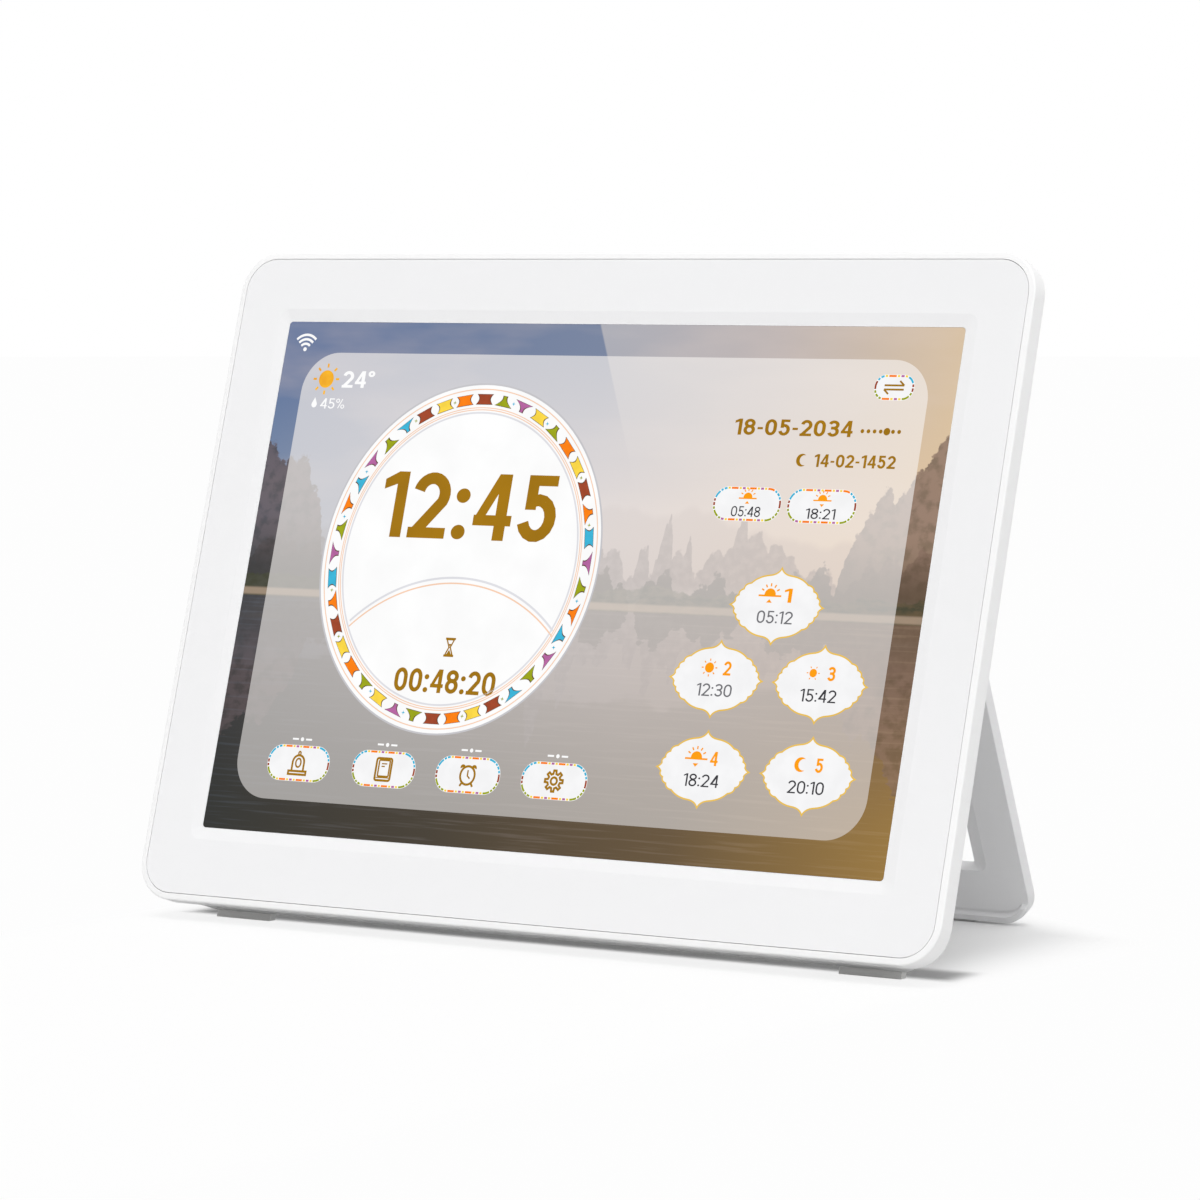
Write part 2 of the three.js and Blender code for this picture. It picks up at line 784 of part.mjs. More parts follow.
function button(x) {
  const flangeTop = innerTop - gap;
  const flangeFoot = flangeTop - flangeHeight;
  const capBase = flangeFoot + flangeHeight / 2;
  const cap = slab(x - buttonLength / 2, x + buttonLength / 2, -buttonDepth - buttonWidth / 2,
    -buttonDepth + buttonWidth / 2, displayRadius, capBase, humpTopZ + buttonStand).rotate([90, 0, 0]);
  const flange = block(x - buttonLength / 2 - buttonFlange, x + buttonLength / 2 + buttonFlange,
    buttonDepth - buttonWidth / 2 - buttonFlange, buttonDepth + buttonWidth / 2 + buttonFlange,
    flangeFoot, flangeTop);
  const stem = post(x, buttonDepth, stemRadius, flangeFoot - stemLength, flangeFoot + flangeHeight / 2);
  return join(cap, flange, stem);
}

// Leads inside the case

function lead(route, steps = leadSteps) {
  const points = route.map((point) => new THREE.Vector3(...point));
  const curve = new THREE.CatmullRomCurve3(points, false, "centripetal");
  const shape = new THREE.Shape().absarc(0, 0, leadRadius, 0, Math.PI * 2);
  return solidOf(new THREE.ExtrudeGeometry(shape, {
    extrudePath: curve, steps, curveSegments: roundSegments, bevelEnabled: false,
  }));
}

const plugEnd = (x) => [x, leadDepth, plugTop + gap];
const laneDepth = trayBack + gap + leadRadius * 2;

function batteryLead() {
  const depth = pocketInner - gap - batteryThickness / 2;
  const start = batteryLeadInset - batteryWidth / 2;
  const x = plugXs.battery;
  return lead([
    [start, depth, batteryBottom - gap],
    [start, depth, batteryBottom - gap - leadRadius],
    [x, leadDepth, plugTop + leadBend],
    plugEnd(x),
  ], roundSegments * 2);
}

function speakerLead(side) {
  const depth = speakerBack - speakerDepth / 2;
  const x = side * speakerX;
  const plugX = side < 0 ? plugXs.speakerLeft : plugXs.speakerRight;
  const lane = boardTop + leadLane;
  const across = side < 0 ? [] : [
    [x - leadLane, boardFront, lane + leadBend],
    [x - speakerWidth, boardFront, lane],
    [plugX + speakerWidth, boardFront, lane],
  ];
  return lead([
    [x, depth, speakerBottom - gap],
    [x, depth, speakerBottom - leadBend],
    ...across,
    [plugX, leadDepth, plugTop + leadBend],
    plugEnd(plugX),
  ]);
}

function buttonLead() {
  const end = buttonBoardX + buttonBoardLength / 2 + gap;
  const z = buttonBoardZ + buttonBoardThickness / 2;
  const x = end + leadLane;
  const plugX = plugXs.buttons;
  const lane = boardTop + leadBend;
  return lead([
    [end, buttonDepth, z],
    [end + leadBend, buttonDepth, z - leadRadius],
    [x, laneDepth, z - speakerWidth],
    [x, laneDepth, speakerBottom],
    [x - leadLane, laneDepth, lane + leadLane],
    [x - speakerWidth, laneDepth, lane],
    [plugX + speakerWidth, laneDepth, lane],
    [plugX, leadDepth, plugTop + leadBend],
    plugEnd(plugX),
  ], leadSteps * 2);
}

// Hinges and stand, drawn round the hinge axis

function hingePin(side) {
  const outer = standX - floorClearance;
  const [from, to] = side > 0 ? [outer - pinLength, outer] : [-outer, pinLength - outer];
  return axle(0, 0, pinRadius, from, to);
}

const washerInner = earThickness / 2 + gap;
const notchHalf = washerInner + washerThickness + gap;

function frictionWasher(side, end) {
  const x = side * hingePlace;
  const centre = x + end * (washerInner + washerThickness / 2);
  const disc = (radius, reach) => axle(0, 0, radius, centre - reach, centre + reach);
  return cut(disc(washerRadius, washerThickness / 2), disc(pinRadius + gap, washerThickness));
}

// The bracket is drawn with the case.
function hingeBracket(side) {
  const x = side * hingePlace;
  const base = troughDepth + gap;
  const plate = block(x - bracketWidth / 2, x + bracketWidth / 2, base, base + bracketThickness,
    hingeHeight - barrelRadius, hingeHeight + bracketTop);
  const ear = join(
    axle(axisDepth, hingeHeight, earRadius, x - earThickness / 2, x + earThickness / 2),
    block(x - earThickness / 2, x + earThickness / 2, base, axisDepth,
      hingeHeight - earRadius, hingeHeight + earRadius));
  const screwWays = bracketScrews.filter((place) => Math.sign(place.x) === side)
    .map((place) => rod(place.x, place.z, screwHole, base - overrun, base + bracketThickness + overrun));
  return cut(join(plate, ear), ...screwWays,
    axle(axisDepth, hingeHeight, pinRadius + gap, x - earThickness, x + earThickness));
}

const innerFace = barrelRadius - standThickness;
const footAt = (y, height) => (height - axisZ - y * Math.sin(tilt)) / Math.cos(tilt);

// Everything below a height above the table, in the stand's own frame.
function belowFloor(height) {
  const reach = standX * 2;
  const box = new THREE.BoxGeometry(reach * 2, reach, reach);
  box.translate(0, 0, -reach / 2);
  box.rotateX(-tilt);
  const drop = axisZ - height;
  box.translate(0, -drop * Math.sin(tilt), -drop * Math.cos(tilt));
  return solidOf(box);
}

function standPlate() {
  const foot = footAt(innerFace, footHeight);
  const chamfer = standEdge / 2;
  const ring = (y, inset, rise = 0) => ({
    y,
    points: outline(-standX + inset, standX - inset, foot + inset + rise, heelLength - inset + rise,
      [standCorner, standEdge * 2], outlineSegments),
  });
  const plate = loft([
    ring(innerFace, chamfer),
    ring(innerFace + chamfer, 0),
    ring(barrelRadius - standEdge, 0),
    ring(barrelRadius, standEdge),
  ]);
  const barrel = axle(0, 0, barrelRadius, -standX + standEdge, standX - standEdge);
  const sill = foot + windowSill;
  const windowX = standX - windowSide;
  const windowRing = (y, share) => ({
    y,
    points: outline(-windowX + windowBevel * share, windowX - windowBevel * share,
      sill + windowSillBevel * share, sill + windowHeight - windowBevel * share / 2,
      windowCorner, smallSegments),
  });
  const window = join(
    loft([windowRing(innerFace, 0), windowRing(barrelRadius - standEdge, 1)]),
    loft([windowRing(innerFace - overrun, 0), windowRing(innerFace, 0)]),
    loft([windowRing(barrelRadius - standEdge, 1), windowRing(barrelRadius + overrun, 1)]));
  const lipFace = innerFace - lipRise;
  const raised = loft([
    ring(lipFace, standEdge),
    ring(lipFace + chamfer, chamfer),
    ring(innerFace + chamfer, chamfer),
  ]);
  const recess = loft([
    ring(lipFace - overrun, chamfer, lipHeight - lipBevel),
    ring(lipFace, chamfer, lipHeight - lipBevel),
    ring(innerFace, chamfer, lipHeight),
  ]);
  const endCut = (y, drop) => ({
    y,
    points: outline(-standX, standX, foot + lipReach - drop, heelLength + lipHeight,
      standEdge, smallSegments),
  });
  const lip = cut(raised, recess, loft([endCut(lipFace - overrun, lipRise), endCut(innerFace, 0)]));
  const body = join(plate, barrel, lip);
  const notches = [-1, 1].flatMap((side) => {
    const x = side * hingePlace;
    const half = bracketWidth / 2 + gap;
    return [
      block(x - notchHalf, x + notchHalf, -standThickness, barrelRadius + overrun,
        -earRadius - gap - floorClearance, heelLength + overrun),
      block(x - half, x + half, -standThickness * 2, barrelRadius + overrun,
        barrelRadius, heelLength + overrun),
    ];
  });
  const bores = [-1, 1].map((side) => {
    const outer = side * (standX + overrun);
    const inner = side * (standX - floorClearance - pinLength - gap);
    return axle(0, 0, pinRadius + gap, Math.min(outer, inner), Math.max(outer, inner));
  });
  const seat = standFoot(gap);
  return cut(body, window, ...notches, ...bores, belowFloor(footHeight), seat);
}

// Rubber strip let into the stand's foot, flush with the table.
function standFoot(grow) {
  const y = innerFace + standEdge;
  const reach = standFootDepth / 2 + grow;
  const width = (standX - standFootInset + grow) * 2;
  const box = new THREE.BoxGeometry(width, reach * 2, footHeight + standFootSeat + grow);
  box.translate(0, 0, (footHeight + standFootSeat + grow) / 2);
  box.rotateX(-tilt);
  box.translate(0, y, footAt(y, 0));
  return solidOf(box);
}

// The case pad is cut flat by the table.
function caseFoot(side) {
  const reach = standX * 2;
  const box = new THREE.BoxGeometry(reach * 2, reach * 2, reach);
  box.translate(0, 0, -reach / 2 - footHeight);
  box.rotateX(lean);
  box.translate(0, caseDepth, 0);
  return cut(footBlock(side, 0, -footDepth), solidOf(box));
}

// Assembly

const clock = new THREE.Group();
const placed = new THREE.Group();
const caseGroup = new THREE.Group();
caseGroup.rotation.x = -lean;
caseGroup.position.set(0, -caseDepth * Math.cos(lean), caseDepth * Math.sin(lean) + footHeight);
const standGroup = new THREE.Group();
standGroup.rotation.x = tilt;
standGroup.position.set(0, axisY, axisZ);
placed.add(caseGroup, standGroup);
clock.add(placed);

piece(caseGroup, "outer_frame", outerFrame(), "rim");
piece(caseGroup, "front_plate", frontPlate(), "front");
piece(caseGroup, "screen_lens", lens(), "glass");
piece(caseGroup, "lcd_panel", lcdPanel(), "panel");
piece(caseGroup, "light_guide", lightGuide(), "guide");
piece(caseGroup, "backlight_tray", backlightTray(), "steel");
piece(caseGroup, "display_ribbon", displayRibbon(), "ribbon");
piece(caseGroup, "rear_cover", rearCover(), "cover");
piece(caseGroup, "main_board", mainBoard(), "board");
piece(caseGroup, "processor_shield", processorShield(), "foil");
piece(caseGroup, "usb_socket", usbSocket(), "steel");
piece(caseGroup, "battery_pack", batteryPack(), "foil");
piece(caseGroup, "battery_lead", batteryLead(), "lead");
piece(caseGroup, "wifi_aerial", aerial(), "board");
piece(caseGroup, "button_board", buttonBoard(), "board");
piece(caseGroup, "button_lead", buttonLead(), "lead");

[["left", -1], ["right", 1]].forEach(([name, side]) => {
  piece(caseGroup, `speaker_${name}`, speaker(side), "blackPlastic");
  piece(caseGroup, `speaker_cloth_${name}`, speakerCloth(side), "cloth");
  piece(caseGroup, `speaker_lead_${name}`, speakerLead(side), "lead");
  piece(caseGroup, `case_foot_${name}`, caseFoot(side), "rubber");
  piece(caseGroup, `hinge_bracket_${name}`, hingeBracket(side), "steel");
  piece(standGroup, `hinge_pin_${name}`, hingePin(side), "steel");
  [["outer", side], ["inner", -side]].forEach(([place, end]) => {
    piece(standGroup, `friction_washer_${name}_${place}`, frictionWasher(side, end), "steel");
  });
});

["power_button", "volume_down_button", "volume_up_button"].forEach((name, i) => {
  piece(caseGroup, name, button(buttonXs[i]), "cover");
});

const coverBack = coverFront + flangeThickness + gap;
frameScrews.forEach(({ x, z }, i) => {
  const length = coverBack - plateThickness - gap - ledgeThickness / 2;
  piece(caseGroup, `cover_screw_${i + 1}`, screw(x, z, coverBack, length, 1), "screw");
});
boardHoles.forEach(({ x, z }, i) => {
  const length = pocketInner - boardFront + gap;
  piece(caseGroup, `board_screw_${i + 1}`, screw(x, z, boardFront - gap, length, -1), "screw");
});
bracketScrews.forEach(({ x, z }, i) => {
  const head = troughDepth + gap + bracketThickness + gap;
  piece(caseGroup, `hinge_screw_${i + 1}`, screw(x, z, head, pocketWall + bracketThickness + gap, 1), "screw");
});

piece(standGroup, "stand_plate", standPlate(), "stand");
piece(standGroup, "stand_foot_strip", standFoot(0), "rubber");

// The origin lies under the middle of the whole clock, on the table.
const reach = new THREE.Box3().setFromObject(clock, true);
placed.position.y = -(reach.min.y + reach.max.y) / 2;

export default clock;
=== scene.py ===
# Prayer-time table clock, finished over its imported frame.
# Metres, +Z up. The screen looks towards -Y and +X is the viewer's right.
import json
import math

import bmesh
import bpy
from mathutils import Matrix, Vector
from mathutils.geometry import delaunay_2d_cdt


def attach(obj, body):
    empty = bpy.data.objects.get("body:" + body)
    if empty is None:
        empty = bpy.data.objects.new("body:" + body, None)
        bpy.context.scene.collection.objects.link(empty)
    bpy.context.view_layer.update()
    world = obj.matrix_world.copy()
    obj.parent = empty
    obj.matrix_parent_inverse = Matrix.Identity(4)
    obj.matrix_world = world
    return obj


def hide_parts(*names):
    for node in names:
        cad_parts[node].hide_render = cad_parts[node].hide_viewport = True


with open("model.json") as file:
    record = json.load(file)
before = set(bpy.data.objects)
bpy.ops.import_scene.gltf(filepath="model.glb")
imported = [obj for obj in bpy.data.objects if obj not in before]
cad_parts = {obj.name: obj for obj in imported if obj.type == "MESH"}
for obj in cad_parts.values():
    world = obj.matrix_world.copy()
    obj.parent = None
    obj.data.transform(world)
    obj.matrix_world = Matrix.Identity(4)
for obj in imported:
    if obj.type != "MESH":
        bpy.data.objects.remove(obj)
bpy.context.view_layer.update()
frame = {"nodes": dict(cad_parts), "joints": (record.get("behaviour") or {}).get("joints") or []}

mm = 0.001
scene = bpy.context.scene
scene.view_settings.view_transform = "Standard"

# Case pieces are drawn in millimetres: x right, y the depth behind the face, z up the face.
caseShape = {"lean": 16.5, "hingeDepth": 15.4, "hingeHeight": 151, "halfWidth": 125.4,
             "height": 182.7, "corner": 11, "cornerSteps": 20}
screenShape = {"width": 213.6, "height": 142.4, "corner": 1, "middle": 91.8, "front": 0.6, "layer": 0.03,
               "merge": 1e-4}

hingePoint = Vector(next(j for j in frame["joints"] if j["name"] == "stand_hinge")["pos_m"])
casePlace = (Matrix.Translation(hingePoint)
             @ Matrix.Rotation(-math.radians(caseShape["lean"]), 4, "X")
             @ Matrix.Translation((0, -caseShape["hingeDepth"] * mm, -caseShape["hingeHeight"] * mm)))
middleZ = screenShape["middle"]


# Camera, fitted to the lit screen's corners, the foot line and the stand in the photograph
camera = {"place": (0.72176, -1.10808, 0.17862), "azimuth": 33.581, "pitch": 3.922,
          "focalPixels": 4946.5, "framePixels": 1200, "sensor": 36, "nearest": 0.05, "farthest": 60}


def addCamera():
    data = bpy.data.cameras.new("camera")
    data.sensor_width = camera["sensor"]
    data.lens = camera["focalPixels"] / camera["framePixels"] * camera["sensor"]
    data.clip_start, data.clip_end = camera["nearest"], camera["farthest"]
    eye = bpy.data.objects.new("camera", data)
    scene.collection.objects.link(eye)
    turn, drop = math.radians(camera["azimuth"]), math.radians(camera["pitch"])
    look = Vector((-math.sin(turn) * math.cos(drop), math.cos(turn) * math.cos(drop), -math.sin(drop)))
    eye.location = camera["place"]
    eye.rotation_mode = "QUATERNION"
    eye.rotation_quaternion = look.to_track_quat("-Z", "Y")
    scene.camera = eye


addCamera()
print("camera placed")


# Paints

class Wire:  # a node's output: sums written on it add Math nodes
    def __init__(self, paint, socket):
        self.paint, self.socket = paint, socket

    def sum(self, operation, *values):
        return self.paint.node("ShaderNodeMath", {"operation": operation}, dict(enumerate(values)))

    def __add__(self, other):
        return self.sum("ADD", self, other)

    def __sub__(self, other):
        return self.sum("SUBTRACT", self, other)

    def __rsub__(self, other):
        return self.sum("SUBTRACT", other, self)

    def __mul__(self, other):
        return self.sum("MULTIPLY", self, other)

    def __truediv__(self, other):
        return self.sum("DIVIDE", self, other)

    def __abs__(self):
        return self.sum("ABSOLUTE", self)

    __radd__ = __add__
    __rmul__ = __mul__

    def most(self, other):
        return self.sum("MAXIMUM", self, other)

    def rise(self, low, high):  # 0 below low, 1 above high, smooth between
        return self.paint.node("ShaderNodeMapRange", {"interpolation_type": "SMOOTHSTEP"},
                               {0: self, 1: low, 2: high})


class Paint:  # the nodes of a material or a world
    def __init__(self, owner, kind="Material"):
        owner.use_nodes = True
        self.owner, self.tree = owner, owner.node_tree
        self.tree.nodes.clear()
        self.surface = self.tree.nodes.new("ShaderNodeOutput" + kind).inputs["Surface"]

    def node(self, kind, settings=None, sockets=None, out=0):
        made = self.tree.nodes.new(kind)
        for key, value in (settings or {}).items():
            if key == "stops":
                ramp = made.color_ramp.elements
                while len(ramp) < len(value):
                    ramp.new(1)
                for stop, (place, colour) in zip(ramp, value):
                    stop.position, stop.color = place, colour
            else:
                setattr(made, key, value)
        for key, value in (sockets or {}).items():
            if isinstance(value, Wire):
                self.tree.links.new(value.socket, made.inputs[key])
            else:
                made.inputs[key].default_value = value
        return Wire(self, made.outputs[out])

    def mix(self, share, low, high, blend="MIX"):
        return self.node("ShaderNodeMix", {"data_type": "RGBA", "blend_type": blend},
                         {0: share, 6: low, 7: high}, 2)

    def noise(self, place, size, detail=2):  # size: the width of one blotch, in millimetres
        return self.node("ShaderNodeTexNoise", {},
                         {"Vector": place, "Scale": 1 / (size * mm), "Detail": detail})

    def place(self):
        return self.node("ShaderNodeTexCoord", out="Object")

    def axis(self, number, place=None):  # 0, 1 or 2 for x, y or z
        return self.node("ShaderNodeSeparateXYZ", {}, {0: place or self.place()}, number)

    def bump(self, height, deep):  # deep in millimetres
        return self.node("ShaderNodeBump", {}, {"Height": height, "Distance": deep * mm, "Strength": 1.0})

    def finish(self, **sockets):
        names = {"colour": "Base Color", "roughness": "Roughness", "metallic": "Metallic",
                 "coat": "Coat Weight", "coatRoughness": "Coat Roughness", "normal": "Normal",
                 "glow": "Emission Color", "glowStrength": "Emission Strength",
                 "gloss": "Specular IOR Level"}
        named = {names[key]: value for key, value in sockets.items()}
        return self.show(self.node("ShaderNodeBsdfPrincipled", {}, named))

    def show(self, shader):
        self.tree.links.new(shader.socket, self.surface)
        return self.owner


def newPaint(name):
    return Paint(bpy.data.materials.new(name))


def linear(colour):  # a 0 to 255 screen colour as the linear colour that nodes take
    parts = [c / 255 for c in colour]
    return tuple(c / 12.92 if c <= 0.04045 else ((c + 0.055) / 1.055) ** 2.4 for c in parts) + (1,)


def shaded(colour, factor):
    return tuple(min(c * factor, 1) for c in colour[:3]) + (1,)


# Moulded pieces vary a little in tone and gloss, in broad blotches and in a fine grain.
mouldShape = {"blotch": 60, "dark": 0.985, "light": 1.01, "even": -0.04, "blotchGloss": 0.05,
              "grainGloss": 0.04}


def moulded(name, colour, roughness=0.4, grain=0.35, deep=0.002, coat=0.0, coatRoughness=0.2):
    paint, shape = newPaint(name), mouldShape
    broad = paint.noise(paint.place(), shape["blotch"], 3)
    fine = paint.noise(paint.place(), grain, 1)
    base = linear(colour)
    gloss = roughness + shape["even"] + broad * shape["blotchGloss"] + fine * shape["grainGloss"]
    return paint.finish(colour=paint.mix(broad, shaded(base, shape["dark"]), shaded(base, shape["light"])),
                        roughness=gloss, normal=paint.bump(fine, deep), coat=coat,
                        coatRoughness=coatRoughness)


metalShape = {"detail": 4, "dark": 0.86, "spread": 0.12, "deep": 0.01}


def metal(name, colour, roughness, grain, stretch=(1, 1, 12)):
    paint = newPaint(name)
    drawn = paint.node("ShaderNodeMapping", {}, {"Vector": paint.place(), "Scale": stretch})
    brushed = paint.noise(drawn, grain, metalShape["detail"])
    base = linear(colour)
    return paint.finish(colour=paint.mix(brushed, shaded(base, metalShape["dark"]), base), metallic=1.0,
                        roughness=roughness + brushed * metalShape["spread"],
                        normal=paint.bump(brushed, metalShape["deep"]))


def boardPaint():
    paint = newPaint("board_green")
    place = paint.place()
    lanes = paint.node("ShaderNodeTexBrick", {"offset": 0.35},
                       {"Vector": place, "Scale": 260.0, "Mortar Size": 0.02, "Color1": linear((24, 96, 62)),
                        "Color2": linear((30, 108, 70)), "Mortar": linear((58, 138, 92))})
    return paint.finish(colour=lanes, roughness=0.42 + paint.noise(place, 3) * 0.1, coat=0.4)


weaveShape = {"waves": 0.3, "gapTone": 0.5, "roughness": 0.9, "deep": 0.05}


def weave(name, colour, pitch):
    paint, shape = newPaint(name), weaveShape

    def yarn(way):
        return paint.node("ShaderNodeTexWave", {"bands_direction": way},
                          {"Vector": paint.place(), "Scale": shape["waves"] / (pitch * mm)})

    threads = yarn("X").most(yarn("Z"))
    base = linear(colour)
    return paint.finish(colour=paint.mix(threads, shaded(base, shape["gapTone"]), base),
                        roughness=shape["roughness"], normal=paint.bump(threads, shape["deep"]))


# The rim's white is lighter than the face's and the cover's: a painted highlight for the light its bevel
# catches
rimWhite = moulded("rim_white", (252, 252, 252), 0.32, 0.5, 0.001, coat=0.25)
faceWhite = moulded("face_white", (246, 246, 247), 0.4, 0.3, 0.0015, coat=0.2, coatRoughness=0.12)
coverWhite = moulded("cover_white", (244, 244, 244), 0.5, 0.45, 0.006)
standWhite = moulded("stand_white", (245, 245, 246), 0.46, 0.4, 0.004)
# The feet's rubber is near white. This is partly a pale rubber and partly painted light that lifts the shade
# they sit in under the case.
rubberPale = moulded("rubber_pale", (250, 250, 248), 0.8, 0.8, 0.03)
blackPlastic = moulded("black_plastic", (28, 28, 30), 0.5, 0.4, 0.008)
ribbonAmber = moulded("ribbon_amber", (190, 132, 40), 0.35, 1.2, 0.002, coat=0.5)
leadRed = moulded("lead_red", (170, 28, 30), 0.55, 0.6, 0.004)
guideClear = moulded("guide_clear", (228, 238, 243), 0.2, 2, 0.001)
panelBlack = moulded("panel_black", (16, 17, 20), 0.2, 1.5, 0.001, coat=0.5)
steel = metal("drawn_steel", (196, 198, 202), 0.28, 1.2)
screwSteel = metal("screw_steel", (150, 152, 158), 0.3, 0.4, (1, 1, 1))
foil = metal("battery_foil", (206, 209, 214), 0.36, 5, (1, 1, 1))
boardGreen = boardPaint()
clothBlack = weave("speaker_cloth_black", (40, 40, 43), 0.5)
print("paints mixed")


# Meshes

def addPiece(name, mesh, paints, body, place=casePlace, replaced=(), sharp=32, solid=True):
    data = bpy.data.meshes.new(name)
    mesh.to_mesh(data)
    mesh.free()
    for paint in paints:
        data.materials.append(paint)
    data.shade_smooth()
    data.set_sharp_from_angle(angle=math.radians(sharp))
    piece = bpy.data.objects.new(name, data)
    scene.collection.objects.link(piece)
    piece.matrix_world = place
    if solid:  # flat faces stay flat, and only the small roundings between them turn the light
        piece.modifiers.new("flat faces", "WEIGHTED_NORMAL").keep_sharp = True
    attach(piece, body)
    if replaced:
        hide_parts(*replaced)
    return piece


def roundedBox(x0, x1, z0, z1, radius, steps=20):  # points round a rectangle with round corners
    corners = [(x1 - radius, z0 + radius), (x1 - radius, z1 - radius),
               (x0 + radius, z1 - radius), (x0 + radius, z0 + radius)]
    turns = [i / steps * math.pi / 2 for i in range(steps + 1)]
    return [(x + radius * math.cos(quarter * math.pi / 2 + turn - math.pi / 2),
             z + radius * math.sin(quarter * math.pi / 2 + turn - math.pi / 2))
            for quarter, (x, z) in enumerate(corners) for turn in turns]


def caseRing(inset):
    half, top = caseShape["halfWidth"], caseShape["height"]
    return roundedBox(inset - half, half - inset, inset, top - inset, caseShape["corner"] - inset,
                      caseShape["cornerSteps"])


def screenRing(grow, radius):
    x, z = screenShape["width"] / 2 + grow, screenShape["height"] / 2 + grow
    return roundedBox(-x, x, middleZ - z, middleZ + z, radius, caseShape["cornerSteps"])


def filleted(profile, steps=4):  # a closed profile of (across, depth, radius) with its corners rounded
    points = []
    for i, (x, y, radius) in enumerate(profile):
        corner = Vector((x, y))
        before, after = profile[i - 1], profile[(i + 1) % len(profile)]
        back = (Vector(before[:2]) - corner).normalized()
        ahead = (Vector(after[:2]) - corner).normalized()
        if not radius:
            points.append(corner)
            continue
        half = back.angle(ahead) / 2
        centre = corner + (back + ahead).normalized() * (radius / math.sin(half))
        start = corner + back * (radius / math.tan(half)) - centre
        end = corner + ahead * (radius / math.tan(half)) - centre
        for step in range(steps + 1):
            points.append(centre + start.slerp(end, step / steps).normalized() * radius)
    return points


def ringBody(rings):  # a closed band through equal outlines, each at its own depth
    mesh = bmesh.new()
    loops = [[mesh.verts.new((x * mm, y * mm, z * mm)) for x, z in points] for points, y in rings]
    for a, b in zip(loops, loops[1:] + loops[:1]):
        for i in range(len(a)):
            j = (i + 1) % len(a)
            mesh.faces.new((a[i], a[j], b[j], b[i]))
    bmesh.ops.recalc_face_normals(mesh, faces=mesh.faces)
    return mesh


# Rim and front plate, in millimetres from the case's outline and from its face
rimProfile = [(1.55, 0, 0.12), (0, 0.14, 0.5), (0, 5.4, 0.2), (0.3, 5.7, 0.2), (2, 5.7, 0.2), (2, 3.8, 0.1),
              (7.4, 3.8, 0.1), (7.4, 2.4, 0.1), (1.8, 2.4, 0), (1.8, 0, 0.05)]
plateShape = {"inset": 1.94, "edge": 0.1, "thickness": 2.1, "slopeTop": 3.5, "slopeFoot": 0.32,
              "slopeDrop": 0.52, "slopeRadius": 3, "footRadius": 1.25, "window": 0.05, "windowRadius": 1.05,
              "ease": 0.12, "steps": 6}


def addRim():
    rings = [(caseRing(p.x), p.y) for p in filleted(rimProfile)]
    addPiece("case_rim", ringBody(rings), [rimWhite], "case", replaced=["outer_frame"])


def addPlate():
    p = plateShape
    turns = [i / p["steps"] * math.pi / 2 for i in range(p["steps"] + 1)]
    rings = [(caseRing(p["inset"]), p["thickness"])]
    rings += [(caseRing(p["inset"] + p["edge"] * (1 - math.cos(t))), p["edge"] * (1 - math.sin(t)))
              for t in turns]
    fall = p["slopeDrop"] / (p["slopeTop"] - p["slopeFoot"])
    for i in range(p["steps"] + 1):  # the face eases over into the slope round the screen
        share = i / p["steps"]
        grow = p["slopeTop"] + p["ease"] * (1 - 2 * share)
        rings.append((screenRing(grow, p["slopeRadius"]), fall * p["ease"] * share ** 2))
    rings += [(screenRing(p["slopeFoot"], p["footRadius"]), p["slopeDrop"]),
              (screenRing(p["window"], p["windowRadius"]), p["slopeDrop"]),
              (screenRing(p["window"], p["windowRadius"]), p["thickness"])]
    addPiece("face_plate", ringBody(rings), [faceWhite], "case", replaced=["front_plate"],
             sharp=7)


addRim()
addPlate()


# Moulded pieces, from the frame's own solids with their facets smoothed
smoothing = {"merge": 0.002, "flat": 0.5}  # millimetres, and degrees


def smoothed(name, node, paint, body, sharp=28, reshape=None):
    mesh = bmesh.new()
    mesh.from_mesh(frame["nodes"][node].data)
    bmesh.ops.remove_doubles(mesh, verts=mesh.verts, dist=smoothing["merge"] * mm)
    if reshape:
        reshape(mesh)
    bmesh.ops.dissolve_limit(mesh, angle_limit=math.radians(smoothing["flat"]), verts=mesh.verts,
                             edges=mesh.edges)
    return addPiece(name, mesh, [paint], body, place=Matrix.Identity(4), replaced=[node],
                    sharp=sharp)


# The stand's window in the plate's own frame: its edges at the face towards the case, and how far each moves
# in by the far side. Its corners are drawn tighter than in the solid. A vertex is on a corner when it is no
# more than slack past the corner's square and no more than miss off its arc.
windowShape = {"tilt": 23.4, "side": 77, "foot": -142.56, "top": -76.56, "near": -1.4, "depth": 3.5,
               "sideIn": 5.6, "footIn": 0.4, "topIn": 2.8, "corner": 5, "nearCorner": 2.6, "farCorner": 0.9,
               "slack": 0.03, "miss": 0.06}


def tightenWindow(mesh):
    w = windowShape
    plate = Matrix.Translation(hingePoint) @ Matrix.Rotation(math.radians(w["tilt"]), 4, "X")
    back = plate.inverted()
    for vertex in mesh.verts:
        x, y, z = (back @ vertex.co) / mm
        share = min(max((y - w["near"]) / w["depth"], 0), 1)
        side = w["side"] - w["sideIn"] * share
        upper = z > (w["foot"] + w["top"]) / 2
        level = w["top"] - w["topIn"] * share if upper else w["foot"] + w["footIn"] * share
        outward = 1 if upper else -1
        across = abs(x) - (side - w["corner"])
        along = (z - level) * outward + w["corner"]
        if min(across, along) < -w["slack"] or abs(math.hypot(across, along) - w["corner"]) > w["miss"]:
            continue
        radius = w["nearCorner"] + (w["farCorner"] - w["nearCorner"]) * share
        shrink = radius / w["corner"]
        corner = Vector((math.copysign(side - radius + across * shrink, x), y,
                         level + outward * (along * shrink - radius)))
        vertex.co = plate @ (corner * mm)


smoothed("back_shell", "rear_cover", coverWhite, "case")
smoothed("stand_board", "stand_plate", standWhite, "stand", sharp=18, reshape=tightenWindow)
for name in ("power_button", "volume_down_button", "volume_up_button"):
    smoothed(name + "_cap", name, coverWhite, name)
print("case and stand finished")

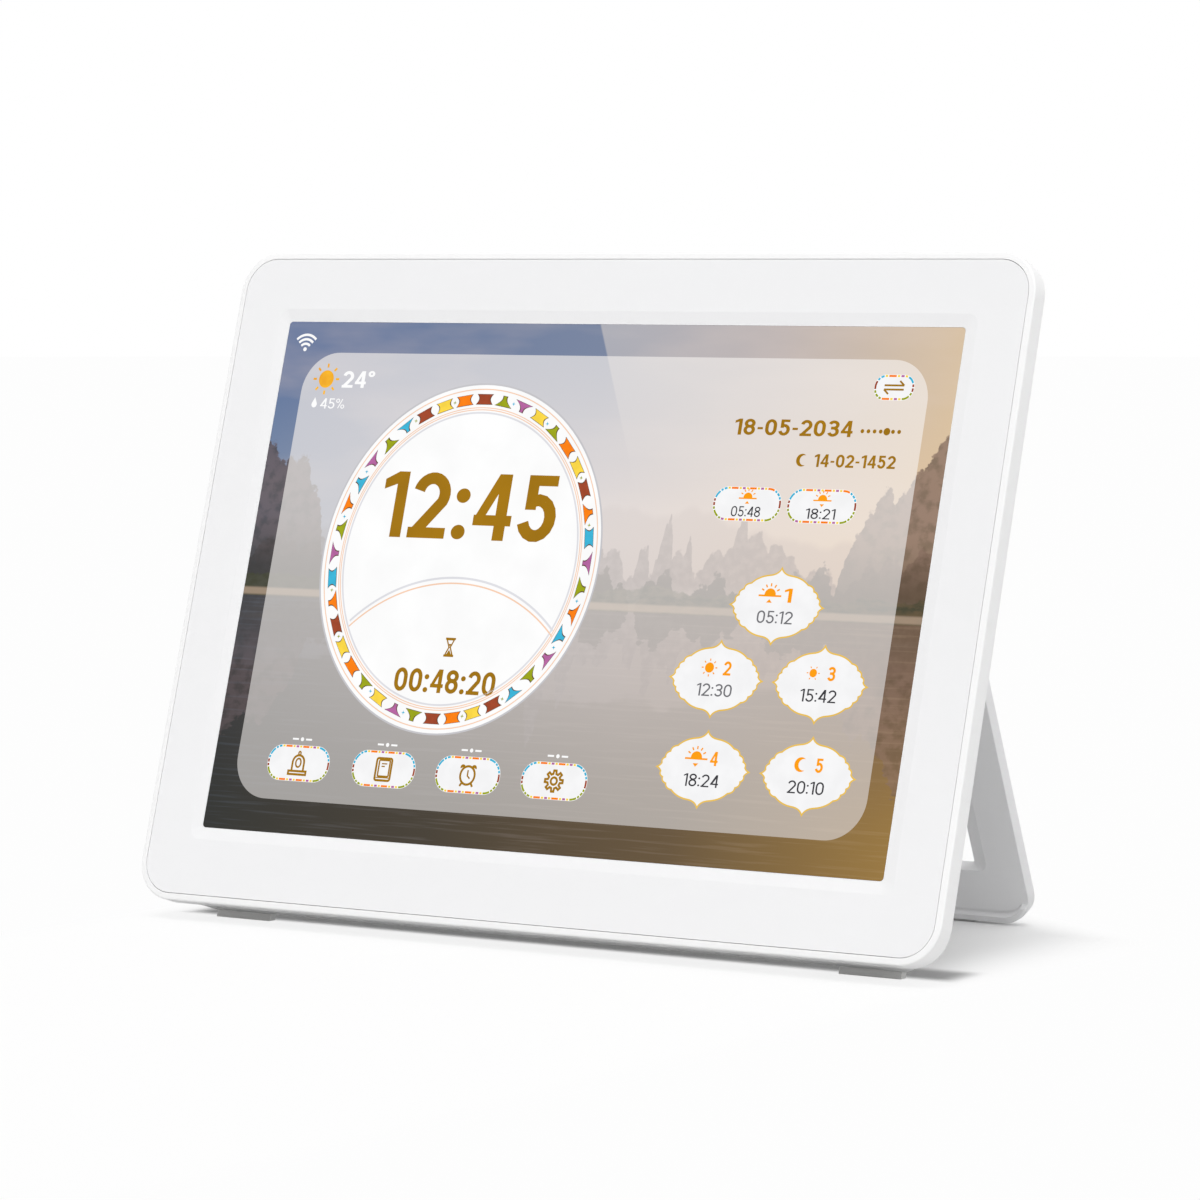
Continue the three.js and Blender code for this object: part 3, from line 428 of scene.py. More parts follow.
# The other nodes keep their shape. A row has a paint and how the names of its nodes start, and the first row
# that fits a name counts.
carried = [(panelBlack, "screen_lens lcd_panel"), (guideClear, "light_guide"),
           (ribbonAmber, "display_ribbon"), (boardGreen, "main_board wifi_aerial button_board"),
           (foil, "processor_shield battery_pack"), (leadRed, "battery_lead button_lead speaker_lead"),
           (steel, "backlight_tray usb_socket hinge_bracket hinge_pin friction_washer"),
           (rubberPale, "case_foot stand_foot_strip"), (screwSteel, "cover_screw board_screw hinge_screw"),
           (clothBlack, "speaker_cloth"), (blackPlastic, "speaker")]


def finishCarried():
    for name, node in frame["nodes"].items():
        paint = next((paint for paint, starts in carried if name.startswith(tuple(starts.split()))), None)
        if paint:
            node.data.materials.clear()
            node.data.materials.append(paint)


finishCarried()


# Screen paints: a lit picture behind slightly glossy glass
# The surround's mirror image brightens the glass, so the lift is taken off the glow.
screenGlow = {"lift": 0.024, "gloss": 0.3, "roughness": 0.08, "smear": 35, "smearShare": 0.06,
              "black": (0.004, 0.004, 0.005, 1)}
inkClouds = (0.3, 0.7)


def behindGlass(paint, picture):
    shape = screenGlow
    smear = paint.noise(paint.place(), shape["smear"], 3)
    lift = tuple([shape["lift"]] * 3) + (1,)
    return paint.finish(colour=shape["black"], roughness=shape["roughness"] + smear * shape["smearShare"],
                        gloss=shape["gloss"], glow=paint.mix(1.0, picture, lift, "SUBTRACT"),
                        glowStrength=1.0)


def ink(name, colour, mottle, size=14):
    paint = newPaint("ink_" + name)
    cloud = paint.noise(paint.place(), size, 3).rise(*inkClouds)
    base = linear(colour)
    return behindGlass(paint, paint.mix(cloud, shaded(base, 1 - mottle), shaded(base, 1 + mottle)))


# The picture: a misty river at dawn, in shares of the screen's width and height
pictureTones = {"skyTop": [(0, (98, 118, 156)), (0.5, (122, 134, 160)), (0.75, (178, 168, 168)),
                           (1, (214, 190, 158))],
                "skyLow": [(0, (132, 148, 171)), (0.5, (208, 194, 190)), (1, (228, 198, 160))],
                "waterHigh": [(0, (60, 60, 62)), (0.25, (96, 90, 90)), (0.6, (132, 116, 108)),
                              (1, (122, 98, 76))],
                "waterLow": [(0, (52, 53, 50)), (0.35, (72, 65, 54)), (0.7, (104, 86, 62)),
                             (1, (152, 120, 66))],
                "hill": [(0, (112, 118, 132)), (0.5, (172, 160, 160)), (1, (190, 158, 134))],
                "wood": [(0, (78, 72, 78)), (0.5, (112, 100, 100)), (1, (122, 92, 76))],
                "groveHigh": [(0, (98, 86, 88)), (1, (138, 112, 98))],
                "groveLow": [(0, (52, 52, 48)), (1, (82, 68, 52))],
                "bank": [(0, (72, 74, 60)), (0.5, (112, 104, 86)), (1, (98, 84, 60))]}
# A grain is how many spots fit across and up, and its detail. A ridge or a row of crowns is how many fit
# across, a shift, and its height. An edge is how soft an outline is, and mirror what the water takes off.
skyShape = {"tones": (0.05, 0.5), "cloud": (3, 7, 4), "clear": 0.44, "haze": 1.1,
            "hazeTone": (226, 208, 198)}
waterShape = {"horizon": 0.457, "edge": 0.002, "tones": (0.05, 0.42), "ripple": (8, 130, 3),
              "ripples": 0.045, "squash": 0.12, "streak": (7, 150, 3), "streaks": (0, 0.2),
              "streakShare": 0.07}
leafShape = {"grain": (96, 66, 5), "tall": 0.06}
hillShape = {"ridges": [(2.6, 3.1, 0.30), (9, 1.7, 0.04)], "crowns": [(37, 0.9, 0.008)], "foot": 0,
             "edge": 0.02, "share": 0.66, "fade": 0.22, "mirror": 0.4}
woodShape = {"ridges": [(7, 8.3, 0.12)], "crowns": [(21, 0.31, 0.035), (57, 1.3, 0.015)], "foot": 0.015,
             "edge": 0.008, "share": 0.72, "mirror": 0.30, "leaf": 0.6, "grain": (90, 60, 4),
             "patches": (0.35, 0.75), "patchShare": 0.45}
poplarShape = {"rows": [(0.33, 0.13, 0.016), (0.362, 0.19, 0.019), (0.44, 0.24, 0.022),
                        (0.472, 0.31, 0.024), (0.508, 0.22, 0.020), (0.60, 0.14, 0.017),
                        (0.63, 0.19, 0.019), (0.662, 0.15, 0.017), (0.735, 0.21, 0.020),
                        (0.762, 0.16, 0.018)],  # place, height and half width
               "cone": 0.55, "round": 0.3, "ruffles": 150, "ruffle": 0.05}
mistShape = {"top": 0.075, "edge": 0.07, "grain": (5, 26, 3), "patches": (0.38, 0.66), "share": 0.34,
             "mirror": 0.2, "tone": (224, 208, 198)}
groveShape = {"left": (0.20, 0.27), "right": (0.80, 0.25),  # where each starts, and its height at the edge
              "ridge": (8, 5.5, 0.5), "least": 0.72, "ridges": [],
              "crowns": [(13, 2.1, 0.07), (37, 0.7, 0.03)], "foot": -0.02, "edge": 0.008, "share": 0.86,
              "mirror": 0.28, "tones": (0.03, 0.17), "grain": (58, 42, 5), "patches": (0.42, 0.66),
              "patchShare": 0.6}
bankShape = {"top": 0.044, "ridge": (12, 6.1, 0.03), "leaf": 0.3, "edge": 0.006, "share": 0.85,
             "grain": (60, 90, 4), "patches": (0.35, 0.7), "dark": (66, 68, 50)}
shoreShape = {"middle": 0.008, "half": 0.010, "edge": 0.006, "share": 0.6, "tone": (188, 164, 142)}
# A painted glare on the screen's glass: a lighter band with a crisp slanted edge from the top of the picture,
# drawn into the picture's colour
paintedGlareShape = {"start": 0.48, "lean": 0.289, "edge": 0.003, "low": 0.66, "share": 0.38, "thin": 1.7,
             "tone": (232, 223, 214)}


def riverPicture(paint):
    u = paint.axis(0) / (screenShape["width"] * mm) + 0.5
    v = (paint.axis(2) - (middleZ - screenShape["height"] / 2) * mm) / (screenShape["height"] * mm)

    def along(key):
        stops = [(place, linear(colour)) for place, colour in pictureTones[key]]
        return paint.node("ShaderNodeValToRGB", {"stops": stops}, {0: u})

    def ridge(many, shift, detail=2):  # a height that wanders across the picture
        return paint.node("ShaderNodeTexNoise", {"noise_dimensions": "1D"},
                          {"W": u * many + shift, "Scale": 1.0, "Detail": detail})

    def crowns(many, shift, curve=3):  # round treetops of uneven width
        gap = paint.node("ShaderNodeTexVoronoi", {"voronoi_dimensions": "1D"},
                         {"W": u + shift, "Scale": many})
        return (1 - gap * gap * curve).most(0)

    def skyline(form):
        return (sum(ridge(many, shift) * tall for many, shift, tall in form["ridges"])
                + sum(crowns(many, shift) * tall for many, shift, tall in form["crowns"]) + form["foot"])

    def grain(across, up, detail):
        spot = paint.node("ShaderNodeCombineXYZ", {}, {0: u * across, 1: v * up})
        return paint.node("ShaderNodeTexNoise", {}, {"Vector": spot, "Scale": 1.0, "Detail": detail})

    above = v - waterShape["horizon"]
    water = (0 - above).rise(0, waterShape["edge"])
    ripple = (grain(*waterShape["ripple"]) - 0.5) * waterShape["ripples"] * water
    off = abs(above) * (1 + water * waterShape["squash"]) + ripple
    leaf = (grain(*leafShape["grain"]) - 0.5) * leafShape["tall"]

    sky = paint.mix(above.rise(*skyShape["tones"]), along("skyLow"), along("skyTop"))
    haze = (grain(*skyShape["cloud"]) - skyShape["clear"]) * skyShape["haze"]
    sky = paint.mix(haze.most(0), sky, linear(skyShape["hazeTone"]))
    deep = paint.mix((0 - above).rise(*waterShape["tones"]), along("waterHigh"), along("waterLow"))
    field = paint.mix(water, sky, deep)

    hill = hillShape
    hills = ((skyline(hill) - off).rise(0, hill["edge"])
             * (hill["share"] - off.rise(0, hill["fade"]) * hill["fade"]) * (1 - water * hill["mirror"]))
    field = paint.mix(hills, field, along("hill"))

    wood, poplar = woodShape, poplarShape
    tops = skyline(wood)
    for place, height, wide in poplar["rows"]:
        reach = abs(u - place) / wide
        tree = height * (1 - reach * poplar["cone"] - reach * reach * poplar["round"])
        tops = tops.most(tree + (ridge(poplar["ruffles"], place, 1) - 0.5) * poplar["ruffle"])
    leaves = grain(*wood["grain"]).rise(*wood["patches"]) * wood["patchShare"]
    woods = ((tops + leaf * wood["leaf"] - off).rise(0, wood["edge"])
             * (wood["share"] - water * wood["mirror"]))
    field = paint.mix(woods, field, paint.mix(leaves, along("wood"), along("hill")))

    mist = mistShape
    veil = ((mist["top"] - off).rise(0, mist["edge"]) * grain(*mist["grain"]).rise(*mist["patches"])
            * (mist["share"] - water * mist["mirror"]))
    field = paint.mix(veil, field, linear(mist["tone"]))

    grove = groveShape
    (start, tall), (farStart, farTall) = grove["left"], grove["right"]
    slope = ((start - u).rise(0, start) * tall).most((u - farStart).rise(0, 1 - farStart) * farTall)
    many, shift, swing = grove["ridge"]
    tops = slope * (ridge(many, shift) * swing + grove["least"]) + skyline(grove)
    tone = paint.mix(off.rise(*grove["tones"]), along("groveLow"), along("groveHigh"))
    tone = paint.mix(grain(*grove["grain"]).rise(*grove["patches"]) * grove["patchShare"], tone,
                     along("groveLow"))
    groves = (tops + leaf - off).rise(0, grove["edge"]) * (grove["share"] - water * grove["mirror"])
    field = paint.mix(groves, field, tone)

    bank, shore = bankShape, shoreShape
    many, shift, swing = bank["ridge"]
    top = bank["top"] + (ridge(many, shift) - 0.5) * swing + leaf * bank["leaf"]
    tone = paint.mix(grain(*bank["grain"]).rise(*bank["patches"]), along("bank"), linear(bank["dark"]))
    field = paint.mix((top - above).rise(0, bank["edge"]) * (1 - water) * bank["share"], field, tone)
    line = (shore["half"] - abs(above - shore["middle"])).rise(0, shore["edge"])
    field = paint.mix(line * shore["share"], field, linear(shore["tone"]))

    streaks = (grain(*waterShape["streak"]) - 0.5).rise(*waterShape["streaks"])
    field = paint.mix(streaks * water * waterShape["streakShare"], field, along("skyLow"))
    # Painted glare: right of a slanted edge, the picture is lifted towards a pale tone that fades downwards.
    # It takes the place of a reflection on the glass.
    glare = paintedGlareShape
    past = u - glare["start"] - (1 - v) * glare["lean"]
    lit = past.rise(0, glare["edge"]) * v.rise(glare["low"], 1) * (1 - past * glare["thin"]).most(0)
    return paint.mix(lit * glare["share"], field, linear(glare["tone"]))


# The pale panel over the picture, in millimetres about its middle, and how much of it covers the picture
panelShape = {"left": -99.0, "right": 98.9, "foot": -62.1, "top": 62.5, "radius": 11.2}
panelVeil = {"foot": 0.36, "top": 0.53, "tone": (250, 246, 243)}


def picturePaint(name, veiled=False):
    paint = newPaint(name)
    picture = riverPicture(paint)
    if veiled:
        low, high = panelVeil["foot"], panelVeil["top"]
        height = paint.axis(2).rise((middleZ + panelShape["foot"]) * mm, (middleZ + panelShape["top"]) * mm)
        picture = paint.mix(low + height * (high - low), picture, linear(panelVeil["tone"]))
    return behindGlass(paint, picture)


# Flat shapes on the screen, in millimetres about its middle

def arc(x, z, rx, rz, start, end, steps=14):
    turns = [math.radians(start + (end - start) * i / steps) for i in range(steps + 1)]
    return [(x + rx * math.cos(t), z + rz * math.sin(t)) for t in turns]


def loop(x, z, rx, rz, steps=28):
    return arc(x, z, rx, rz, 0, 360, steps)[:-1]


def box(x0, x1, z0, z1):
    return [(x0, z0), (x1, z0), (x1, z1), (x0, z1)]


def stroke(points, width, closed=False):  # short straight-sided pieces along a line, with mitred joints
    last = len(points) - 1
    sides = []
    for i, point in enumerate(points):
        here = Vector(point)
        back = here - Vector(points[i - 1]) if closed or i else None
        ahead = Vector(points[(i + 1) % len(points)]) - here if closed or i < last else None
        back = (back or ahead).normalized()
        ahead = (ahead or back).normalized()
        across = Vector((-(back + ahead).y, (back + ahead).x)).normalized()
        reach = width / 2 / max(across.dot(Vector((-back.y, back.x))), 0.5)
        sides.append((tuple(here + across * reach), tuple(here - across * reach)))
    pairs = list(zip(sides, sides[1:])) + ([(sides[-1], sides[0])] if closed else [])
    return [[a[1], b[1], b[0], a[0]] for a, b in pairs]


def moved(shapes, x, z, scale=1.0, scaleZ=None):
    tall = scale if scaleZ is None else scaleZ
    return [[(x + px * scale, z + pz * tall) for px, pz in shape] for shape in shapes]


class Drawing:  # layers of flat shapes in front of the glass
    def __init__(self, name):
        self.name, self.mesh, self.inks = name, bmesh.new(), []

    def fill(self, shapes, layer, paint):
        points, outlines = [], []
        for shape in shapes:
            area = sum(a[0] * b[1] - b[0] * a[1] for a, b in zip(shape, shape[1:] + shape[:1]))
            outlines.append(list(range(len(points), len(points) + len(shape))))
            points += [Vector(p) for p in (shape if area > 0 else shape[::-1])]
        if paint not in self.inks:
            self.inks.append(paint)
        depth = (screenShape["front"] - screenShape["layer"] * layer) * mm
        found = delaunay_2d_cdt(points, [], outlines, 1, screenShape["merge"])
        corners = [self.mesh.verts.new((p.x * mm, depth, (p.y + middleZ) * mm)) for p in found[0]]
        for triangle, covered in zip(found[2], found[5]):
            if not covered:  # a gap that the shapes go round
                continue
            face = self.mesh.faces.new([corners[i] for i in triangle])
            face.material_index = self.inks.index(paint)
            face.normal_update()
            if face.normal.y > 0:
                face.normal_flip()

    def done(self):
        loose = [v for v in self.mesh.verts if not v.link_faces]
        bmesh.ops.delete(self.mesh, geom=loose, context="VERTS")
        addPiece(self.name, self.mesh, self.inks, "case", solid=False)


# The figures that the display shows, drawn in a unit of their height
figureShape = {"wide": 0.6, "gap": 0.1, "bold": 0.178, "plain": 0.122}


def figure(sign, pen):
    wide = figureShape["wide"]
    half, mid, rx = pen / 2, wide / 2, (wide - pen) / 2
    if sign == "0":
        return stroke(arc(mid, 0.7 - half, rx, 0.3, 0, 180) + arc(mid, 0.3 + half, rx, 0.3, 180, 360),
                      pen, True), wide
    if sign == "1":
        flag = [(0.21, 1), (0, 0.88), (0, 0.88 - pen * 0.85), (0.21, 1 - pen * 1.05)]
        return [box(0.2, 0.2 + pen, 0, 1), flag], 0.2 + pen
    if sign == "2":
        hook = arc(mid, 0.76 - half, rx, 0.24, 168, -28) + [(half + 0.03, pen * 0.5)]
        return stroke(hook, pen) + [box(0, wide, 0, pen * 0.92)], wide
    if sign == "3":
        waist = 0.53
        top, foot = (1 - half - waist) / 2, (waist - half) / 2
        return (stroke(arc(mid, waist + top, rx * 0.95, top, 162, -90), pen)
                + stroke(arc(mid, waist - foot, rx, foot, 90, -162), pen)
                + [box(mid - 0.13, mid + 0.01, waist - half, waist + half)]), wide
    if sign == "4":
        stem = wide - 0.08 - pen
        slope = [(stem - 0.02, 1), (stem + pen, 1), (stem, 0.70), (0.19, 0.22 + pen * 0.9),
                 (0, 0.22 + pen * 0.9), (0, 0.22 + pen * 0.5)]
        return [box(stem, stem + pen, 0, 1), box(0, wide, 0.22, 0.22 + pen * 0.9), slope], wide
    if sign == "5":
        bowl = stroke(arc(mid - 0.01, 0.27 + half, rx, 0.27, 132, -164), pen)
        bar, neck = box(0.09, wide - 0.05, 1 - pen * 0.9, 1), box(0.09, 0.09 + pen * 0.95, 0.48, 1)
        return bowl + [bar, neck], wide
    if sign == "7":
        leg = [(wide, 1 - pen * 0.8), (wide - pen * 1.15, 1 - pen * 0.8), (0.13, 0), (0.13 + pen * 1.12, 0)]
        return [box(0, wide, 1 - pen * 0.92, 1), leg], wide
    if sign == "8":
        return (stroke(loop(mid, 1 - half - 0.19, rx * 0.92, 0.19), pen, True)
                + stroke(loop(mid, half + 0.226, rx, 0.226), pen, True)), wide
    if sign == ":":
        dot = pen * 0.62
        return [loop(dot, 0.11, dot, dot), loop(dot, 0.66, dot, dot)], dot * 2
    if sign == "-":
        return [box(0.02, 0.3, 0.36, 0.36 + pen * 0.8)], 0.32
    if sign == "%":
        return (stroke(loop(0.16, 0.78, 0.13, 0.16), pen * 0.7, True)
                + stroke(loop(0.62, 0.22, 0.13, 0.16), pen * 0.7, True)
                + stroke([(0.56, 0.95), (0.22, 0.05)], pen * 0.7)), 0.78
    return stroke(loop(0.16, 0.84, 0.12, 0.12), pen * 0.7, True), 0.3  # a degree ring


def written(text, x, z, height, width, pen="plain"):
    shapes, reach = [], 0
    for sign in text:
        parts, wide = figure(sign, figureShape[pen])
        shapes += moved(parts, reach, 0)
        reach += wide + figureShape["gap"]
    reach -= figureShape["gap"]
    return moved(shapes, x - width / 2, z - height / 2, width / reach, height)


# Signs: suns and moons in a unit of their radius, the others in millimetres
def rays(turns, reach, start=1.3, pen=0.24):
    ways = [Vector((math.cos(math.radians(turn)), math.sin(math.radians(turn)))) for turn in turns]
    return [part for way in ways for part in stroke([way * start, way * reach], pen)]


def sunSign(radius, count=8):
    turns = [360 * i / count for i in range(count)]
    return moved([loop(0, 0, 1, 1)] + rays(turns, 1.75), 0, 0, radius)


def halfSun(radius, up):
    base, tip = (-1.2, -0.65) if up else (-0.85, -1.4)
    arrow = [(-0.5, base), (0.5, base), (0, tip)]
    ground, disc = box(-2, 2, -0.28, 0), arc(0, 0, 1, 1, 0, 180)
    return moved([disc, ground, arrow] + rays(range(30, 180, 30), 1.8), 0, 0, radius)


def crescent(radius, centre=0.42, horn=48):  # the inner edge's centre, and where the horns end
    tip = Vector((math.cos(math.radians(horn)) - centre, math.sin(math.radians(horn))))
    turn = math.degrees(math.atan2(tip.y, tip.x))
    inner = arc(centre, 0, tip.length, tip.length, 360 - turn, turn, 20)[1:-1]
    return moved([arc(0, 0, 1, 1, horn, 360 - horn, 24) + inner], 0, 0, radius)


def hourglass(size):
    glass = [(-0.45, 0.8), (0.45, 0.8), (0.08, 0), (0.45, -0.8), (-0.45, -0.8), (-0.08, 0)]
    return moved(stroke(glass, 0.16, True) + [box(-0.62, 0.62, 0.78, 1), box(-0.62, 0.62, -1, -0.78),
                                              [(-0.28, -0.72), (0.28, -0.72), (0, -0.25)],
                                              [(-0.2, 0.35), (0.2, 0.35), (0, 0.1)]], 0, 0, size)


signPen = 0.56


def nicheSign(pen=signPen):
    arch = [(-1.7, -1.9), (-1.7, 0.2)] + arc(0, 0.2, 1.7, 1.75, 165, 15, 12) + [(1.7, 0.2), (1.7, -1.9)]
    return (stroke(arch, pen) + stroke(box(-2.6, 2.6, -2.75, -1.95), pen, True)
            + stroke(loop(0, 0.1, 0.75, 1.05), pen * 0.8, True)
            + stroke(loop(0, 2.45, 0.33, 0.42, 12), pen * 0.7, True))


def bookSign(pen=signPen):
    return (stroke(roundedBox(-2.2, 2.2, -2.75, 2.6, 0.5, 4), pen, True)
            + stroke(roundedBox(-1.45, 1.65, -1.75, 2.15, 0.25, 4), pen * 0.75, True)
            + [box(-0.7, 0.9, 1.15, 1.45), box(-0.7, 0.3, 0.5, 0.8), box(-1.9, 1.9, -2.2, -1.95)])


def alarmSign(pen=signPen):
    bell = arc(0, 0, 0.75, 0.75, 20, 200, 8)
    bells = moved([bell], -1.6, 1.75) + moved([[(-x, z) for x, z in bell]], 1.6, 1.75)
    hands = stroke([(0, 1.2), (0, -0.2), (0.75, -0.85)], pen * 0.7)
    return (stroke(loop(0, -0.1, 2.05, 2.2), pen, True) + hands
            + bells + stroke([(-1.3, -1.9), (-1.8, -2.75)], pen) + stroke([(1.3, -1.9), (1.8, -2.75)], pen))


def gearSign(pen=signPen, teeth=8):
    rim = []
    for i in range(teeth):
        for share, radius in ((-0.30, 1.75), (-0.17, 2.5), (0.17, 2.5), (0.30, 1.75)):
            turn = 2 * math.pi * (i + share) / teeth
            rim.append((radius * math.cos(turn), radius * math.sin(turn)))
    return stroke(rim, pen, True) + stroke(loop(0, 0, 0.85, 0.85), pen, True)


def swapSign(pen=0.5):
    top = stroke([(-2.9, 0.55), (2.9, 0.55)], pen) + stroke([(1.5, 1.75), (2.9, 0.55)], pen)
    return top + [[(-x, -z) for x, z in part] for part in top]


def fanSign(radius):
    waves = [part for share in (0.42, 0.68, 0.94)
             for part in stroke(arc(0, 0, share, share, 45, 135), 0.14)]
    return moved([loop(0, 0.1, 0.12, 0.12, 12)] + waves, 0, 0, radius)


def dropSign():
    return [arc(0, -0.3, 0.9, 0.9, 150, 390, 14) + [(0, 1.7)]]


# The tone of each ink, how much it varies, and how wide its blotches are in millimetres
inkTones = {"white": ((252, 252, 252), 0.02), "paper": ((245, 245, 246), 0.025, 6),
            "gold": ((162, 116, 8), 0.07, 12), "gold_line": ((234, 192, 88), 0.03),
            "orange_word": ((255, 158, 8), 0.03), "dark": ((58, 58, 62), 0.03),
            "grey": ((112, 112, 116), 0.03), "peach": ((246, 205, 176), 0.03),
            "edge": ((198, 197, 201), 0.03), "mist": ((222, 222, 227), 0.03),
            "tile_outline": ((96, 70, 48), 0.03), "orange": ((255, 128, 8), 0.06, 2),
            "yellow": ((250, 215, 70), 0.05, 2), "brown": ((160, 70, 40), 0.08, 2),
            "plum": ((180, 100, 160), 0.06, 2), "blue": ((60, 180, 215), 0.06, 2),
            "olive": ((155, 165, 20), 0.06, 2), "sun": ((255, 178, 40), 0.16, 4)}
inks = {name: ink(name, *tone) for name, tone in inkTones.items()}


def addPicture():
    picture = Drawing("screen_picture")
    x, z = screenShape["width"] / 2, screenShape["height"] / 2
    picture.fill([roundedBox(-x, x, -z, z, screenShape["corner"], 4)], 1, picturePaint("river_picture"))
    p = panelShape
    picture.fill([roundedBox(p["left"], p["right"], p["foot"], p["top"], p["radius"], 16)], 2,
                 picturePaint("river_behind_panel", True))
    picture.done()


# Ring with its border of cut tiles, in shares of the ring's half sizes
ringShape = {"x": -37.1, "z": 6.3, "wide": 45.0, "tall": 48.1, "steps": 120, "slots": 40,
             "lines": [(0.998, 0.5, "edge"), (0.968, 0.32, "peach"), (0.862, 0.28, "peach"),
                       (0.850, 0.28, "peach"), (0.833, 0.5, "mist")]}  # where, how wide, and the ink
tileKinds = ("block peak wedge block peak block block block peak block "
             "wedge peak wedge peak wedge peak wedge block block block").split()
tileInks = ("brown olive plum yellow olive orange yellow brown orange blue "
            "plum olive orange blue plum olive blue brown yellow orange").split()
tileShape = {"block": (0.36, 0.40), "wedge": (0.42, 0.07), "peak": (0.08, 0.42),  # half widths, out and in
             "low": 0.884, "high": 0.940, "outline": 0.045, "outlineTall": 0.0027, "waist": 0.13,
             "least": 0.02, "steps": 6}
starShape = {"share": 0.9115, "long": 0.62, "short": 0.2, "points": 4, "slots": (1, 3), "every": 5}
sweepShape = {"x": -36.3, "z": -47.2, "wide": 47.5, "tall": 46.6, "from": 134, "to": 46, "steps": 40,
              "line": 0.42, "shade": 0.6, "apart": 1.5}  # the inner arc over the countdown
hourglassShape = {"x": -35.2, "z": -18.0, "size": 2.6}


def ringPoint(turn, share):
    r = ringShape
    return (r["x"] + r["wide"] * share * math.sin(turn), r["z"] + r["tall"] * share * math.cos(turn))


def ringLoop(share):
    r = ringShape
    return loop(r["x"], r["z"], r["wide"] * share, r["tall"] * share, r["steps"])


def tile(centre, kind, outline=False):
    t = tileShape
    slot = 2 * math.pi / ringShape["slots"]
    grow, tall = (t["outline"], t["outlineTall"]) if outline else (0, 0)
    outer, inner = (slot * (share + grow) for share in t[kind])
    low, high = t["low"] - tall, t["high"] + tall
    points = []
    for side in (1, -1):
        for i in range(t["steps"] + 1):
            share = i / t["steps"] if side > 0 else 1 - i / t["steps"]
            reach = outer + (inner - outer) * share - slot * t["waist"] * math.sin(math.pi * share)
            reach = max(reach, slot * t["least"])
            points.append(ringPoint(centre + side * reach, high + (low - high) * share))
    return points


def star(x, z):
    points = []
    for i in range(starShape["points"] * 2):
        turn, size = math.pi * i / starShape["points"], starShape["short" if i % 2 else "long"]
        points.append((x + size * math.cos(turn), z + size * math.sin(turn)))
    return points


def addRing():
    ring = Drawing("clock_ring")
    ring.fill([ringLoop(1)], 3, inks["white"])
    for share, wide, colour in ringShape["lines"]:
        ring.fill(stroke(ringLoop(share), wide, True), 4, inks[colour])
    slot = 2 * math.pi / ringShape["slots"]
    colours, outlines = {}, []
    for i in range(ringShape["slots"]):
        kind, colour = tileKinds[i % len(tileKinds)], tileInks[i % len(tileInks)]
        outlines.append(tile(i * slot, kind, True))
        colours.setdefault(colour, []).append(tile(i * slot, kind))
        if i % starShape["every"] in starShape["slots"]:
            spot = ringPoint((i + 0.5) * slot, starShape["share"])
            colours.setdefault("blue" if i % 2 else "olive", []).append(star(*spot))
    ring.fill(outlines, 4, inks["tile_outline"])
    for colour, shapes in colours.items():
        ring.fill(shapes, 5, inks[colour])
    w = sweepShape
    sweep = arc(w["x"], w["z"], w["wide"], w["tall"], w["from"], w["to"], w["steps"])
    ring.fill(stroke(sweep, w["line"]), 4, inks["peach"])
    ring.fill(stroke([(x, z + w["apart"]) for x, z in sweep], w["shade"]), 4, inks["mist"])
    ring.fill(written("12:45", -36.55, 20.5, 18.2, 57.2, "bold"), 4, inks["gold"])
    glass = hourglassShape
    ring.fill(moved(hourglass(glass["size"]), glass["x"], glass["z"]), 4, inks["gold"])
    ring.fill(written("00:48:20", -35.0, -27.3, 6.4, 32.6, "bold"), 4, inks["gold"])
    ring.done()


# Pills with a dashed border of tiles. At the round ends the dashes have colours of their own: top, foot, tip.
pillShape = {"edge": 0.55, "inset": 0.1, "round": 0.47, "inner": 1.6, "gap": 0.32, "steps": 10,
             "dashes": [("orange", 2.1), ("yellow", 0.7), ("plum", 0.9), ("yellow", 0.7)], "dashSteps": 4,
             "ends": 0.8, "tip": 0.12, "endColours": ("blue", "olive", "brown")}


def pillLoop(width, height, inset, radius):
    return roundedBox(inset - width / 2, width / 2 - inset, inset - height / 2, height / 2 - inset, radius,
                      pillShape["steps"])


def dashColour(colour, point, width, height, radius):
    p = pillShape
    if abs(point[0]) <= width / 2 - radius * p["ends"]:
        return colour
    top, foot, tip = p["endColours"]
    if abs(point[1]) <= height * p["tip"]:
        return tip
    return top if point[1] > 0 else foot


def pill(drawing, x, z, width, height):
    p = pillShape
    radius = height * p["round"]
    inset = p["edge"] / 2 + p["inset"]
    drawing.fill(moved([pillLoop(width, height, 0, radius)], x, z), 3, inks["white"])
    track = pillLoop(width, height, inset, radius - inset)
    closed = track + track[:1]
    lengths = [0]
    for a, b in zip(closed, closed[1:]):
        lengths.append(lengths[-1] + (Vector(b) - Vector(a)).length)

    def spot(length):
        i = max(k for k in range(len(track)) if lengths[k] <= length)
        share = min((length - lengths[i]) / (lengths[i + 1] - lengths[i]), 1)
        return tuple(Vector(closed[i]).lerp(Vector(closed[i + 1]), share))

    row = sum(long + p["gap"] for _, long in p["dashes"])
    rows = round(lengths[-1] / row)
    stretch = lengths[-1] / (rows * row)
    at = 0
    for colour, long in p["dashes"] * rows:
        colour = dashColour(colour, spot(at + long * stretch / 2), width, height, radius)
        line = [spot(at + long * stretch * i / p["dashSteps"]) for i in range(p["dashSteps"] + 1)]
        drawing.fill(moved(stroke(line, p["edge"]), x, z), 4, inks[colour])
        at += (long + p["gap"]) * stretch
    inner = pillLoop(width, height, inset * 2, radius - inset * p["inner"])
    drawing.fill(moved([inner], x, z), 4, inks["paper"])


